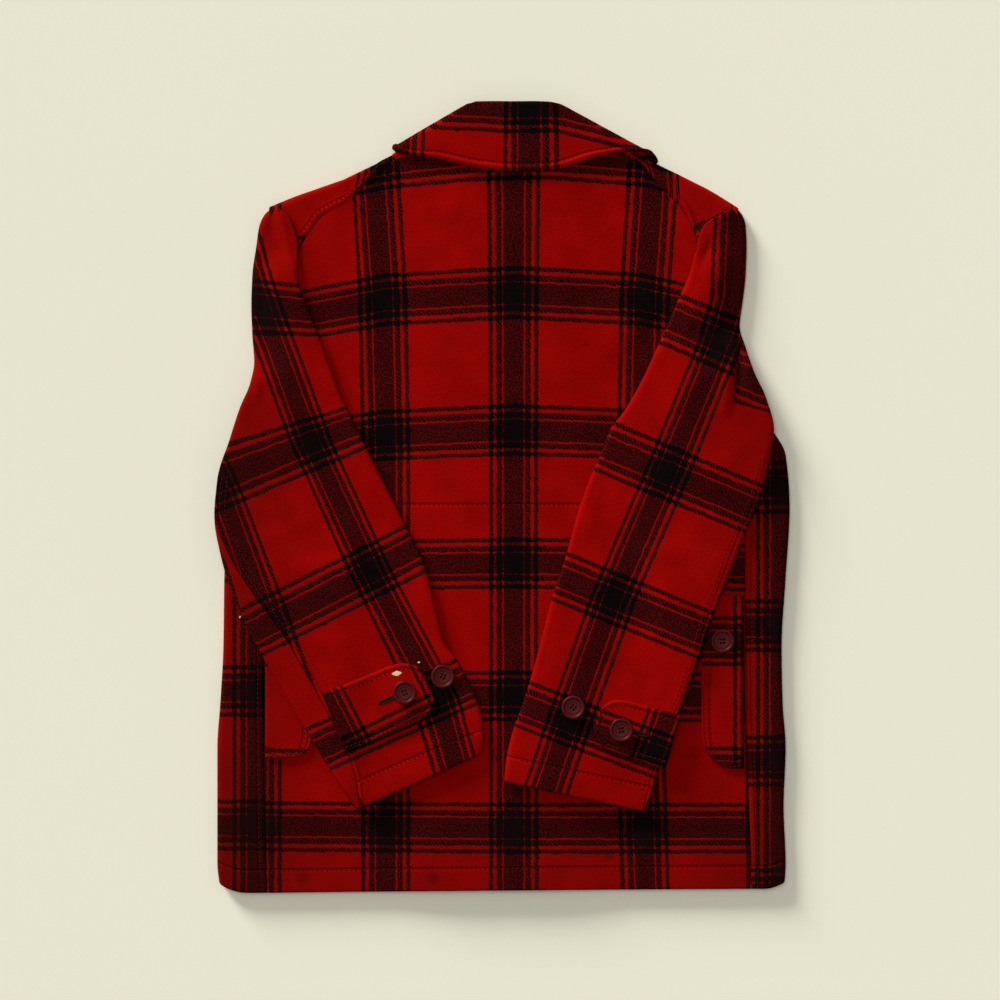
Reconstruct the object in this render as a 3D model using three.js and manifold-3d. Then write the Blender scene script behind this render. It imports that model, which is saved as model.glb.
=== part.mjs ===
// Mackinaw jacket of heavy wool, laid out face down, both sleeves folded over its back.
// Millimetres. +Z is up, +Y points to the collar, +X to the wearer's right.
// It rests on z = 0. The tables measure x and y from the middle of the back, and the
// jacket is then moved so that the middle of its outline is at the origin.

import * as THREE from 'three';
import { mergeVertices } from 'three/addons/utils/BufferGeometryUtils.js';
import Module from 'manifold-3d';

const wasm = await Module();
wasm.setup();

const OUTLINE_MIDDLE = { x: -0.02, y: 1.066 };

// Cloth, and the air between pieces
const CLOTH = 3.0;
const AIR = 0.3;
const SEAM = 0.5;
const LAYER = CLOTH + AIR;
const HALF = CLOTH / 2;

// Levels of the middle of the cloth above the floor
const FRONT_LEVEL = HALF;
const BACK_LEVEL = 8.3;
const CENTRE_RISE = 3.8;
const CENTRE_FLAT = 38;
const CENTRE_END = 130;

// From the outline to the middle of the cloth at a shoulder fold, and the least distance
// between neighbouring points of one row
const FOLD_INSET = 1.58;
const CLOSEST = { front: 1.4, sleeve: 0.35 };

// Front closure: the left front laps over the right one, and its buttons lie under it
const LAP_HALF = 32;
const CLOSURE_LIFT = 3.4;
const LAP_LIFT = 3.5;
const RAMP = { start: 34, end: 66 };

// Where the fronts lie over the collar's front leaves
const NECK_COVER = { flatHalfWidth: 158, endHalfWidth: 188, flatFrom: 203, endAt: 179 };

// Sleeves: radius of the folded edges, and the rise of the top layer between them
const FOLD_RADIUS = 2.25;
const FLOOR_FOLD_RADIUS = 3.3;
const SLEEVE_AIR = 0.6;
const SLEEVE_SEAM = 1.2;
const TAB_AIR = 0.9;
const SLEEVE_DOME = 1.8;
const SLEEVE_CLIMB = 0.7;
const SLEEVE_RIDGE = { width: 4, fade: 40, endsFrom: 0.7 };

// Buttons
const BUTTON = {
  radius: 11.8, height: 3.4, rim: 2.2, dish: 1.2, foot: 8.5, hole: 1.2, holeOffset: 2.4, sides: 20,
};
const FRONT_BUTTON = { radius: 11.5, height: 3.0, sides: 16, spacing: 130, top: 240, count: 5 };

// The body below the armholes. Each row is one height on the jacket, and gives the
// distance from the middle to each side fold and to each side seam on the back.
const BODY = [
  { y: -390, foldLeft: 283, seamLeft: 234, foldRight: 283, seamRight: 249 },
  { y: -366, foldLeft: 285, seamLeft: 236, foldRight: 284, seamRight: 249 },
  { y: -310, foldLeft: 285, seamLeft: 237, foldRight: 282, seamRight: 247 },
  { y: -250, foldLeft: 285, seamLeft: 238, foldRight: 284, seamRight: 245 },
  { y: -205, foldLeft: 282, seamLeft: 238, foldRight: 281, seamRight: 243 },
  { y: -150, foldLeft: 279, seamLeft: 238, foldRight: 280, seamRight: 243 },
  { y: -80, foldLeft: 278, seamLeft: 238, foldRight: 284, seamRight: 243 },
  { y: -10, foldLeft: 274, seamLeft: 239, foldRight: 288, seamRight: 243 },
  { y: 42, foldLeft: 264, seamLeft: 240, foldRight: 284, seamRight: 244 },
  { y: 70, foldLeft: 258, seamLeft: 240, foldRight: 269, seamRight: 245 },
  { y: 92, foldLeft: 253, seamLeft: 241, foldRight: 257, seamRight: 244 },
];
const HEM = { floor: -388, fold: -383.5, left: -395.5, right: -391.5, round: 22, middle: -393 };
const ARMPIT = { y: 104, left: 252, right: 255, topRun: 4 };

// Front neck seam from the shoulder to the lap, then the lap's corner. Distances from the middle.
const FRONT_NECK = {
  left: [[103, 327.5], [89, 313.5], [64, 297], [36, 289], [-32, 287.5]],
  right: [[132, 327.5], [118, 313.5], [90, 298], [36, 289], [-32, 287.5]],
};
// Shoulder fold as the outline shows it, and shoulder seam on the back, neck to armhole
const SHOULDER_FOLD = {
  left: [[114, 339.5], [158, 318.5], [204, 302.5], [220, 296]],
  right: [[141, 340], [175, 324], [204, 309.5], [224.5, 297]],
};
const SHOULDER_SEAM = {
  left: [[114, 335], [158, 294.5], [181.5, 279.5], [199, 255.5]],
  right: [[137, 335.5], [162, 305.5], [182, 286.5], [195, 258.5]],
};
// Back armhole edge, under the sleeve, from the armpit up
const BACK_ARMHOLE = {
  left: [[236, 112], [222, 150], [213, 190], [208, 225]],
  right: [[236, 112], [219, 150], [206, 190], [199, 225]],
};
const BACK_NECK = { y: 348, knots: 3 };

// Sleeves, from the shoulder to the cuff. outer and inner are the two edges of the folded
// sleeve. hole: distance from the middle to the front armhole edge. lift: 0 where the
// outer edge lies on the floor, 1 where it lies on the back. fold: 0 where the top layer
// ends at the armhole seam, 1 where it turns under at the inner edge. tuck: width turned
// under there. seam: where the seam near the outer edge runs, 0 being the edge's underside.
// ridge and step: a fold of the top layer, its distance from the outer edge and height.
const LEFT_SLEEVE = [
  { outer: [-231, 288], inner: [-224, 288], hole: 221, lift: 0, fold: 0, tuck: 0, seam: 0 },
  { outer: [-237, 283.5], inner: [-214, 283.5], hole: 221, lift: 0, fold: 0, tuck: 0, seam: 0 },
  { outer: [-243, 271.5], inner: [-209, 271.5], hole: 217, lift: 0, fold: 0, tuck: 0, seam: 0 },
  { outer: [-246, 251.5], inner: [-204, 251.5], hole: 214, lift: 0, fold: 0, tuck: 0, seam: 0 },
  { outer: [-250, 222.5], inner: [-204, 222.5], hole: 213, lift: 0, fold: 0.7, tuck: 3, seam: 0 },
  { outer: [-251, 192.5], inner: [-196, 194.5], hole: 214, lift: 0, fold: 1, tuck: 15, seam: 0 },
  { outer: [-250, 162.5], inner: [-183, 161.5], hole: 220, lift: 0, fold: 1, tuck: 34, seam: 0 },
  { outer: [-248, 135.5], inner: [-173, 135.5], hole: 232, lift: 0.35, fold: 1, tuck: 42, seam: 0 },
  { outer: [-252, 113.5], inner: [-168, 121.5], hole: 241, lift: 1, fold: 1, tuck: 42, seam: -2 },
  { outer: [-262, 89.5], inner: [-161, 102.5], lift: 1, fold: 1, tuck: 40, seam: -1 },
  { outer: [-273, 55.5], inner: [-151, 81.5], lift: 1, fold: 1, tuck: 38, seam: 1 },
  { outer: [-284.5, 19.5], inner: [-140, 58.5], lift: 1, fold: 1, tuck: 36, seam: 3 },
  { outer: [-288, -17.5], inner: [-128, 34.5], lift: 1, fold: 1, tuck: 36, seam: 4 },
  { outer: [-281, -58.5], inner: [-112, 3.5], lift: 1, fold: 1, tuck: 36, seam: 12 },
  { outer: [-266, -104.5], inner: [-95, -30.5], lift: 1, fold: 1, tuck: 36, seam: 23 },
  { outer: [-246, -146.5], inner: [-79, -62.5], lift: 1, fold: 1, tuck: 36, seam: 32 },
  { outer: [-225, -183.5], inner: [-66.5, -107.5], lift: 1, fold: 1, tuck: 36, seam: 33 },
  { outer: [-205, -217.5], inner: [-58, -142.5], lift: 1, fold: 1, tuck: 35, seam: 32 },
  { outer: [-188, -245.5], inner: [-43, -165.5], lift: 1, fold: 1, tuck: 34, seam: 30 },
  { outer: [-173, -270.5], inner: [-29, -193.5], lift: 1, fold: 1, tuck: 34, seam: 27 },
  { outer: [-160, -290.5], inner: [-20, -219.5], lift: 1, fold: 1, tuck: 34, seam: 20 },
  { outer: [-151, -303.5], inner: [-18, -240.5], lift: 1, fold: 1, tuck: 34, seam: 12 },
  { outer: [-145, -311.5], inner: [-22, -256.5], lift: 1, fold: 1, tuck: 34, seam: 8 },
];
const RIGHT_SLEEVE = [
  { outer: [236, 288], inner: [229, 288], hole: 226, lift: 0, fold: 0, tuck: 0, seam: 0 },
  { outer: [241, 281.5], inner: [219, 282.5], hole: 225, lift: 0, fold: 0, tuck: 0, seam: 0 },
  { outer: [244, 271.5], inner: [203, 273.5], hole: 219, lift: 0, fold: 0, tuck: 0, seam: 0 },
  { outer: [245, 251.5], inner: [195, 250.5], hole: 214, lift: 0, fold: 0, tuck: 0, seam: 0 },
  { outer: [244, 222.5], inner: [187, 222.5], hole: 212, lift: 0, fold: 0.7, tuck: 5, seam: 0 },
  { outer: [241, 195.5], inner: [176, 197.5], hole: 214, lift: 0, fold: 1, tuck: 24, seam: 0 },
  { outer: [238, 171.5], inner: [166, 173.5], hole: 219, lift: 0, fold: 1, tuck: 40, seam: 0 },
  { outer: [244, 149.5], inner: [154, 147.5], hole: 226, lift: 0.35, fold: 1, tuck: 48, seam: 0,
    ridge: 10, step: 3 },
  { outer: [252, 125.5], inner: [143, 123.5], hole: 241, lift: 1, fold: 1, tuck: 46, seam: -2,
    ridge: 21, step: 3 },
  { outer: [264, 99.5], inner: [132, 102.5], lift: 1, fold: 1, tuck: 42, seam: -1,
    ridge: 37, step: 3 },
  { outer: [272, 67.5], inner: [121, 84.5], lift: 1, fold: 1, tuck: 40, seam: 0,
    ridge: 50, step: 1.6 },
  { outer: [267, 39.5], inner: [108, 67.5], lift: 1, fold: 1, tuck: 38, seam: 1 },
  { outer: [255.5, -7.5], inner: [99, 44.5], lift: 1, fold: 1, tuck: 36, seam: 2 },
  { outer: [240, -42.5], inner: [88, 19.5], lift: 1, fold: 1, tuck: 36, seam: 3 },
  { outer: [225, -82.5], inner: [75, -17.5], lift: 1, fold: 1, tuck: 36, seam: 3 },
  { outer: [210, -122.5], inner: [64, -57.5], lift: 1, fold: 1, tuck: 36, seam: 3 },
  { outer: [197, -165.5], inner: [50, -99.5], lift: 1, fold: 1, tuck: 36, seam: 3 },
  { outer: [184, -202.5], inner: [40, -138.5], lift: 1, fold: 1, tuck: 35, seam: 3 },
  { outer: [172, -230.5], inner: [31, -172.5], lift: 1, fold: 1, tuck: 34, seam: 3 },
  { outer: [162, -259.5], inner: [20, -207.5], lift: 1, fold: 1, tuck: 34, seam: 3 },
  { outer: [155, -278.5], inner: [11, -232.5], lift: 1, fold: 1, tuck: 34, seam: 3 },
  { outer: [150, -297.5], inner: [5, -257.5], lift: 1, fold: 1, tuck: 34, seam: 3 },
  { outer: [146, -314.5], inner: [2, -283.5], lift: 1, fold: 1, tuck: 34, seam: 3 },
];
const ARMPIT_STATION = 8;

// Collar, from its left front end round the back of the neck to its right front end.
// neck: sewn edge. roll: fold line. leaf: outer edge. turn: 0 where the collar lies on
// the back, 90 at the side of the neck, 180 where it lies under the front.
const COLLAR = [
  { roll: [-32, 309.5], leaf: [-72, 213.5], neck: [-36, 290.1], turn: 180 },
  { roll: [-26, 334.5], leaf: [-92, 235.5], neck: [-63.5, 298.1], turn: 180 },
  { roll: [-25, 359.5], leaf: [-102, 275.5], neck: [-88.2, 314.4], turn: 180 },
  { roll: [-30, 381.5], leaf: [-102, 317.5], neck: [-102.2, 328.3], turn: 180 },
  { roll: [-33.5, 389.5], leaf: [-102, 337.5], neck: [-108, 337], turn: 180 },
  { roll: [-33.5, 390], leaf: [-103.5, 344], neck: [-109, 339], turn: 135 },
  { roll: [-33.5, 390], leaf: [-103.5, 345.5], neck: [-109, 340], turn: 90 },
  { roll: [-33.5, 390.5], leaf: [-102, 345.5], neck: [-109, 340], turn: 45 },
  { roll: [-32.5, 392], leaf: [-99, 344.5], neck: [-108, 338.2], turn: 0 },
  { roll: [-26, 393.2], leaf: [-65, 338.5], neck: [-61, 348.8], turn: 0 },
  { roll: [-10, 393.2], leaf: [-24, 329], neck: [-22, 348.8], turn: 0 },
  { roll: [10, 393], leaf: [19, 325.5], neck: [18, 348.8], turn: 0 },
  { roll: [31, 393.2], leaf: [50, 327], neck: [54, 348.8], turn: 0 },
  { roll: [47, 393.2], leaf: [97, 341], neck: [84, 348.8], turn: 0 },
  { roll: [56, 392], leaf: [130, 346.5], neck: [132.5, 338.5], turn: 0 },
  { roll: [57.5, 390.5], leaf: [144, 344], neck: [134, 340], turn: 45 },
  { roll: [57.5, 389.5], leaf: [150, 337.5], neck: [135, 340.5], turn: 90 },
  { roll: [57.5, 389], leaf: [150, 338], neck: [134.5, 339], turn: 135 },
  { roll: [57, 388.5], leaf: [147, 337], neck: [133, 336.5], turn: 180 },
  { roll: [54, 381.5], leaf: [138, 312], neck: [131.2, 328.3], turn: 180 },
  { roll: [50, 359.5], leaf: [138, 275.5], neck: [117.2, 314.4], turn: 180 },
  { roll: [43, 334.5], leaf: [123, 235.5], neck: [89.5, 299.1], turn: 180 },
  { roll: [34, 309.5], leaf: [90, 213.5], neck: [36, 290.1], turn: 180 },
];
const COLLAR_OUT = { across: 0.53, up: 0.85 };
const COLLAR_FOLD_RADIUS = 1.7;

// Pocket ends on the back. edge: distance from the middle to the free edge.
const POCKETS = {
  left: [
    { y: -98, edge: 189 }, { y: -140, edge: 189 }, { y: -190, edge: 189 },
    { y: -235, edge: 189 }, { y: -247, edge: 191 }, { y: -254, edge: 196 },
    { y: -258.5, edge: 204 }, { y: -260, edge: 216 },
  ],
  right: [
    { y: -98, edge: 199 }, { y: -140, edge: 199 }, { y: -190, edge: 199 },
    { y: -236, edge: 199.5 }, { y: -252, edge: 203 }, { y: -259, edge: 208 },
    { y: -267.5, edge: 219 }, { y: -271, edge: 228 },
  ],
};
const POCKET_SEAM = { left: 236.5, right: 242 };
const POCKET_RISE = { reach: 66, full: 26 };
const POCKET_BUTTON = [220.5, -143.5];

// Cuff tabs: sewn end, free end and width, with their two buttons
const TABS = {
  left: { root: [-168, -225.5], tip: [-72, -186.5], width: 64, round: 24,
    onTab: [-97, -194.5], onSleeve: [-59, -178.5] },
  right: { root: [171, -243], tip: [94.5, -222], width: 53, round: 20,
    onTab: [119, -232], onSleeve: [71, -209.5] },
};

// Share of a tab's width that its blunt tip keeps
const TAB_TIP = 0.34;

// Broad soft waves of the back panel
const WAVES = [
  { from: [-150, 250], to: [-60, 120], width: 34, height: 0.9 },
  { from: [150, 250], to: [70, 110], width: 32, height: 1.0 },
  { from: [-40, -60], to: [60, -120], width: 46, height: 0.8 },
  { from: [-190, -300], to: [-60, -345], width: 30, height: 0.8 },
  { from: [90, -330], to: [210, -370], width: 30, height: 0.8 },
];

const COLOURS = { wool: 0x7d130d, button: 0x4a1c1c };

function clamp(value, low, high) {
  return Math.min(high, Math.max(low, value));
}

function smooth(t) {
  const c = clamp(t, 0, 1);
  return c * c * (3 - 2 * c);
}

function mix(a, b, t) {
  return a + (b - a) * t;
}

function mixPoints(a, b, t) {
  return [mix(a[0], b[0], t), mix(a[1], b[1], t)];
}

// A point on a bent line whose corners fall at the given places along it
function alongLine(points, places, place) {
  let i = 0;
  while (i < places.length - 2 && place > places[i + 1]) i += 1;
  return mixPoints(points[i], points[i + 1], (place - places[i]) / (places[i + 1] - places[i]));
}

// Steps kept in order between start and end, at least `step` apart
function spread(marks, start, end, step) {
  const last = marks.length - 1;
  return marks.map((mark, k) => {
    const low = start + k * step;
    const high = end - (last - k) * step;
    return clamp(mark, Math.min(low, high), Math.max(low, high));
  });
}

// Turns a grid of points in the middle of the cloth into a closed wall of even thickness
function wall(grid, thickness = CLOTH) {
  const rows = grid.length;
  const columns = grid[0].length;
  const at = (i, j) => grid[clamp(i, 0, rows - 1)][clamp(j, 0, columns - 1)];
  const positions = [];
  for (const sign of [1, -1]) {
    for (let i = 0; i < rows; i += 1) {
      for (let j = 0; j < columns; j += 1) {
        const down = new THREE.Vector3().subVectors(at(i + 1, j), at(i - 1, j));
        const over = new THREE.Vector3().subVectors(at(i, j + 1), at(i, j - 1));
        const out = new THREE.Vector3().crossVectors(down, over).normalize();
        const p = at(i, j).clone().addScaledVector(out, sign * thickness / 2);
        positions.push(p.x, p.y, p.z);
      }
    }
  }
  const index = [];
  const upper = (i, j) => i * columns + j;
  const lower = (i, j) => rows * columns + upper(i, j);
  const quad = (a, b, c, d) => index.push(a, b, c, a, c, d);
  for (let i = 0; i < rows - 1; i += 1) {
    for (let j = 0; j < columns - 1; j += 1) {
      quad(upper(i, j), upper(i + 1, j), upper(i + 1, j + 1), upper(i, j + 1));
      quad(lower(i, j), lower(i, j + 1), lower(i + 1, j + 1), lower(i + 1, j));
    }
  }
  const end = rows - 1;
  for (let j = 0; j < columns - 1; j += 1) {
    quad(upper(0, j), upper(0, j + 1), lower(0, j + 1), lower(0, j));
    quad(upper(end, j + 1), upper(end, j), lower(end, j), lower(end, j + 1));
  }
  const side = columns - 1;
  for (let i = 0; i < rows - 1; i += 1) {
    quad(upper(i + 1, 0), upper(i, 0), lower(i, 0), lower(i + 1, 0));
    quad(upper(i, side), upper(i + 1, side), lower(i + 1, side), lower(i, side));
  }
  const geometry = new THREE.BufferGeometry();
  geometry.setAttribute('position', new THREE.Float32BufferAttribute(positions, 3));
  geometry.setIndex(index);
  if (volume(geometry) < 0) {
    for (let i = 0; i < index.length; i += 3) [index[i], index[i + 1]] = [index[i + 1], index[i]];
    geometry.setIndex(index);
  }
  return geometry;
}

function volume(geometry) {
  const p = geometry.getAttribute('position');
  const index = geometry.getIndex().array;
  const [a, b, c] = [new THREE.Vector3(), new THREE.Vector3(), new THREE.Vector3()];
  let sum = 0;
  for (let i = 0; i < index.length; i += 3) {
    a.fromBufferAttribute(p, index[i]);
    b.fromBufferAttribute(p, index[i + 1]);
    c.fromBufferAttribute(p, index[i + 2]);
    sum += a.dot(b.cross(c));
  }
  return sum / 6;
}

function point(x, y, z) {
  return new THREE.Vector3(x, y, z);
}

// Levels

function wave(x, y, { from, to, width, height }) {
  const along = [to[0] - from[0], to[1] - from[1]];
  const length = Math.hypot(...along);
  const t = ((x - from[0]) * along[0] + (y - from[1]) * along[1]) / length ** 2;
  const near = mixPoints(from, to, clamp(t, 0, 1));
  const distance = Math.hypot(x - near[0], y - near[1]);
  return height * Math.exp(-((distance / width) ** 2));
}

// Middle of the back panel, and of the fronts where they lie on top
function bodyLevel(x, y) {
  const rise = CENTRE_RISE * smooth((CENTRE_END - Math.abs(x)) / (CENTRE_END - CENTRE_FLAT));
  return BACK_LEVEL + rise + WAVES.reduce((sum, w) => sum + wave(x, y, w), 0);
}

// Middle of a front where it lies on the floor, on the closure's buttons or on the collar
function frontLevel(side, x, y) {
  const ramp = (distance) => clamp((RAMP.end - distance) / (RAMP.end - RAMP.start), 0, 1);
  const strip = ramp(Math.abs(x));
  const { flatHalfWidth, endHalfWidth, flatFrom, endAt } = NECK_COVER;
  const across = clamp((endHalfWidth - Math.abs(x)) / (endHalfWidth - flatHalfWidth), 0, 1);
  const up = clamp((y - endAt) / (flatFrom - endAt), 0, 1);
  const lap = side > 0 ? ramp(x) : 0;
  return FRONT_LEVEL + CLOSURE_LIFT * Math.max(strip, Math.min(across, up)) + LAP_LIFT * lap;
}

// How much of the pocket end's thickness lies under (x, y), with soft borders
function pocketRise(x, y) {
  const rows = x < 0 ? POCKETS.left : POCKETS.right;
  const edge = Math.min(...rows.map((row) => row.edge));
  const across = smooth((Math.abs(x) - edge + POCKET_RISE.reach) / (POCKET_RISE.reach - POCKET_RISE.full));
  const top = smooth((rows[0].y + POCKET_RISE.reach - y) / (POCKET_RISE.reach - POCKET_RISE.full));
  const bottom = smooth((y - rows.at(-1).y + POCKET_RISE.reach) / (POCKET_RISE.reach - POCKET_RISE.full));
  return across * top * bottom;
}

// Middle of cloth that lies on the back
function bedLevel(x, y) {
  return bodyLevel(x, y) + CLOTH + SLEEVE_AIR + LAYER * pocketRise(x, y);
}

// Fronts

const CLOSURE_COLUMNS = [-LAP_HALF, 0, RAMP.start, 50, RAMP.end, 108, 158, 200];
const ARC_STEPS = [0, 0.25, 0.5, 0.75, 1];
const TOP_STEPS = [0.5, 1];
const FRONT_COLUMNS = CLOSURE_COLUMNS.length + ARC_STEPS.length + TOP_STEPS.length;

// One row of a front from its inner edge outwards: flat, round the side fold, onto the back
function frontRow(side, start, base, end, yAt) {
  const x = side * base;
  const floor = frontLevel(side, x, start[1]);
  const roof = bodyLevel(x, start[1]);
  const radius = (roof - floor) / 2;
  const arc = Math.PI * radius;
  const marks = [
    ...CLOSURE_COLUMNS,
    ...ARC_STEPS.map((t) => base + t * arc),
    ...TOP_STEPS.map((t) => base + arc + t * (end - base - arc)),
  ];
  return spread(marks, start[0], end, CLOSEST.front).map((mark) => {
    const y = yAt(mark, base + arc);
    if (mark <= base) return point(side * mark, y, frontLevel(side, side * mark, y));
    if (mark >= base + arc) {
      const top = base - (mark - base - arc);
      return point(side * top, y, bodyLevel(side * top, y));
    }
    const turn = (mark - base) / radius;
    return point(side * (base + radius * Math.sin(turn)), y, floor + radius * (1 - Math.cos(turn)));
  });
}

function wrappedRow(side, y, fold, seam, yAt = () => y) {
  const radius = (bodyLevel(side * fold, y) - frontLevel(side, side * fold, y)) / 2;
  const base = fold - HALF - radius;
  return frontRow(side, [-LAP_HALF, y], base, base + Math.PI * radius + (base - seam - SEAM / 2), yAt);
}

function frontGrid(side) {
  const key = side < 0 ? 'left' : 'right';
  const foldKey = side < 0 ? 'foldLeft' : 'foldRight';
  const seamKey = side < 0 ? 'seamLeft' : 'seamRight';
  const hemTop = HEM[key];
  const rows = BODY.map((row, i) => {
    const hem = (mark, top) => {
      const rounded = smooth((mark - top + HEM.round / 2) / HEM.round);
      return mix(mix(HEM.floor, HEM.fold, smooth((mark - top + HEM.round) / HEM.round)), hemTop, rounded);
    };
    return wrappedRow(side, row.y, row[foldKey], row[seamKey], i === 0 ? hem : undefined);
  });
  rows.push(wrappedRow(side, ARMPIT.y, ARMPIT[key], ARMPIT[key] - 2 * HALF - ARMPIT.topRun));
  const base = ARMPIT[key] - HALF - (BACK_LEVEL - FRONT_LEVEL) / 2;

  // Beside the armhole, each row ends at the sleeve's edge and starts at the lap or neck
  const stations = (side < 0 ? LEFT_SLEEVE : RIGHT_SLEEVE).slice(0, ARMPIT_STATION).reverse();
  const starts = [[-LAP_HALF, 132], [-LAP_HALF, 172], [-LAP_HALF, 220], ...[...FRONT_NECK[key]].reverse()];
  stations.forEach((station, i) => {
    const end = [station.hole - SEAM, station.outer[1]];
    const start = starts[i];
    const yAt = (mark) => mix(start[1], end[1], (mark - start[0]) / (end[0] - start[0]));
    rows.push(frontRow(side, start, base, end[0], yAt));
  });

  // Over the shoulder fold and down the back to the shoulder seam
  const last = FRONT_COLUMNS - 1;
  const foldPlaces = [0, 8, 13, last];
  const seamPlaces = [0, 7, 12, last];
  const columns = Array.from({ length: FRONT_COLUMNS }, (_, k) => {
    const outline = alongLine(SHOULDER_FOLD[key], foldPlaces, k);
    const seam = alongLine(SHOULDER_SEAM[key], seamPlaces, k);
    const x = side * outline[0];
    const floor = frontLevel(side, x, outline[1]);
    const radius = (bodyLevel(x, outline[1]) - floor) / 2;
    return { x, y: outline[1] - radius - FOLD_INSET, floor, radius, seam: [side * seam[0], seam[1] + SEAM] };
  });
  for (const t of ARC_STEPS) {
    const turn = t * Math.PI;
    rows.push(columns.map(({ x, y, floor, radius }) => (
      point(x, y + radius * Math.sin(turn), floor + radius * (1 - Math.cos(turn))))));
  }
  for (const t of TOP_STEPS) {
    rows.push(columns.map((column) => {
      const [x, y] = mixPoints([column.x, column.y], column.seam, t);
      return point(x, y, bodyLevel(x, y));
    }));
  }
  return rows;
}

// Back panel

const BACK_COLUMNS = 15;

function backGrid() {
  const ends = BODY.map((row, i) => ({
    left: [row.seamLeft, i ? row.y : HEM.left],
    right: [row.seamRight, i ? row.y : HEM.right],
    sag: i ? 0 : HEM.middle - (HEM.left + HEM.right) / 2,
  }));
  for (let i = 0; i < BACK_ARMHOLE.left.length; i += 1) {
    ends.push({ left: BACK_ARMHOLE.left[i], right: BACK_ARMHOLE.right[i], sag: 0 });
  }
  for (let i = SHOULDER_SEAM.left.length - 1; i > 0; i -= 1) {
    const drop = ([a, y]) => [a, y - SEAM / 2];
    ends.push({ left: drop(SHOULDER_SEAM.left[i]), right: drop(SHOULDER_SEAM.right[i]), sag: 0 });
  }
  ends.push({ left: SHOULDER_SEAM.left[0], right: SHOULDER_SEAM.right[0], neck: true });
  const last = BACK_COLUMNS - 1;
  return ends.map(({ left, right, sag, neck }) => (
    Array.from({ length: BACK_COLUMNS }, (_, k) => {
      const t = k / last;
      const x = mix(-left[0] + SEAM / 2, right[0] - SEAM / 2, t);
      let y = mix(left[1], right[1], t);
      if (neck) {
        const up = clamp(Math.min(k, last - k) / BACK_NECK.knots, 0, 1);
        y = mix(y - SEAM, BACK_NECK.y, up);
      } else {
        y += sag * Math.sin(Math.PI * t);
      }
      return point(x, y, bodyLevel(x, y));
    })));
}

// Sleeves

// The table's row at any place along the sleeve
function stationAt(table, t) {
  const i = clamp(Math.floor(t), 0, table.length - 2);
  const [a, b] = [table[i], table[i + 1]];
  const f = t - i;
  const number = (name) => mix(a[name] ?? 0, b[name] ?? 0, f);
  return {
    outer: mixPoints(a.outer, b.outer, f),
    inner: mixPoints(a.inner, b.inner, f),
    hole: number('hole'),
    lift: number('lift'),
    fold: number('fold'),
    tuck: number('tuck'),
    seam: number('seam'),
    ridge: number('ridge'),
    step: number('step'),
  };
}

// The flattened ring of cloth at one station. Its path starts under the outer edge, goes
// round that edge, over the top, round the inner edge and back underneath.
function ring(station) {
  const { outer, inner, lift, fold } = station;
  const width = Math.hypot(inner[0] - outer[0], inner[1] - outer[1]);
  const across = [(inner[0] - outer[0]) / width, (inner[1] - outer[1]) / width];
  const place = (a) => [outer[0] + across[0] * a, outer[1] + across[1] * a];
  const bed = (a) => bedLevel(...place(a));
  const outerRadius = mix(Math.min(FLOOR_FOLD_RADIUS, width / 2), FOLD_RADIUS, lift);
  const innerRadius = FOLD_RADIUS * fold;
  const from = outerRadius + HALF;
  const to = Math.max(width - innerRadius - (fold > 0 ? HALF : 0), from + 0.5);
  const low = mix(FRONT_LEVEL, bed(from), lift);
  const high = low + 2 * outerRadius;
  const run = to - from;

  function topLevel(a) {
    const w = clamp((a - from) / run, 0, 1);
    const resting = bed(a) + 2 * innerRadius;
    const climb = lift === 1 ? 1 : smooth(w / SLEEVE_CLIMB);
    const dome = SLEEVE_DOME * fold * Math.sin(Math.PI * w);
    const past = a - station.ridge;
    const edge = clamp(past / SLEEVE_RIDGE.width, 0, 1) * Math.exp(-Math.max(0, past) / SLEEVE_RIDGE.fade);
    const inner = smooth((w - SLEEVE_RIDGE.endsFrom) / (1 - SLEEVE_RIDGE.endsFrom));
    const ridge = station.step * edge * (1 - inner);
    return mix(high, resting, climb) + dome + ridge;
  }

  const arcs = [Math.PI * outerRadius, Math.PI * innerRadius];
  const end = arcs[0] + run + arcs[1];
  const around = end + run;

  function path(t) {
    let a;
    let z;
    if (t < 0) {
      a = from - t;
      z = mix(FRONT_LEVEL, bed(a), lift);
    } else if (t < arcs[0]) {
      const turn = t / outerRadius;
      a = from - outerRadius * Math.sin(turn);
      z = low + outerRadius * (1 - Math.cos(turn));
    } else if (t <= arcs[0] + run) {
      a = from + t - arcs[0];
      z = topLevel(a);
    } else if (t < end) {
      const turn = (t - arcs[0] - run) / innerRadius;
      a = to + innerRadius * Math.sin(turn);
      z = bed(to) + innerRadius * (1 + Math.cos(turn));
    } else {
      a = to - (t - end);
      z = bed(a);
    }
    return point(...place(a), z);
  }

  const startOnFloor = -(Math.abs(outer[0]) - station.hole - SEAM - from);
  return { path, arcs, run, end, around, topLevel, startOnFloor };
}

function sleeveUpperGrid(table) {
  return table.map((row, i) => {
    const station = stationAt(table, i);
    const r = ring(station);
    const start = i < ARMPIT_STATION ? Math.min(r.startOnFloor, -0.5) : station.seam + SLEEVE_SEAM / 2;
    const stop = r.end + station.tuck;
    const marks = [
      start, start / 2,
      ...ARC_STEPS.map((t) => t * r.arcs[0]),
      ...[1, 2, 3, 4, 5, 6, 7].map((k) => r.arcs[0] + r.run * k / 7),
      ...ARC_STEPS.slice(1).map((t) => r.end - r.arcs[1] * (1 - t)),
      stop,
    ];
    return spread(marks, start, stop, CLOSEST.sleeve).map(r.path);
  });
}

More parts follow.
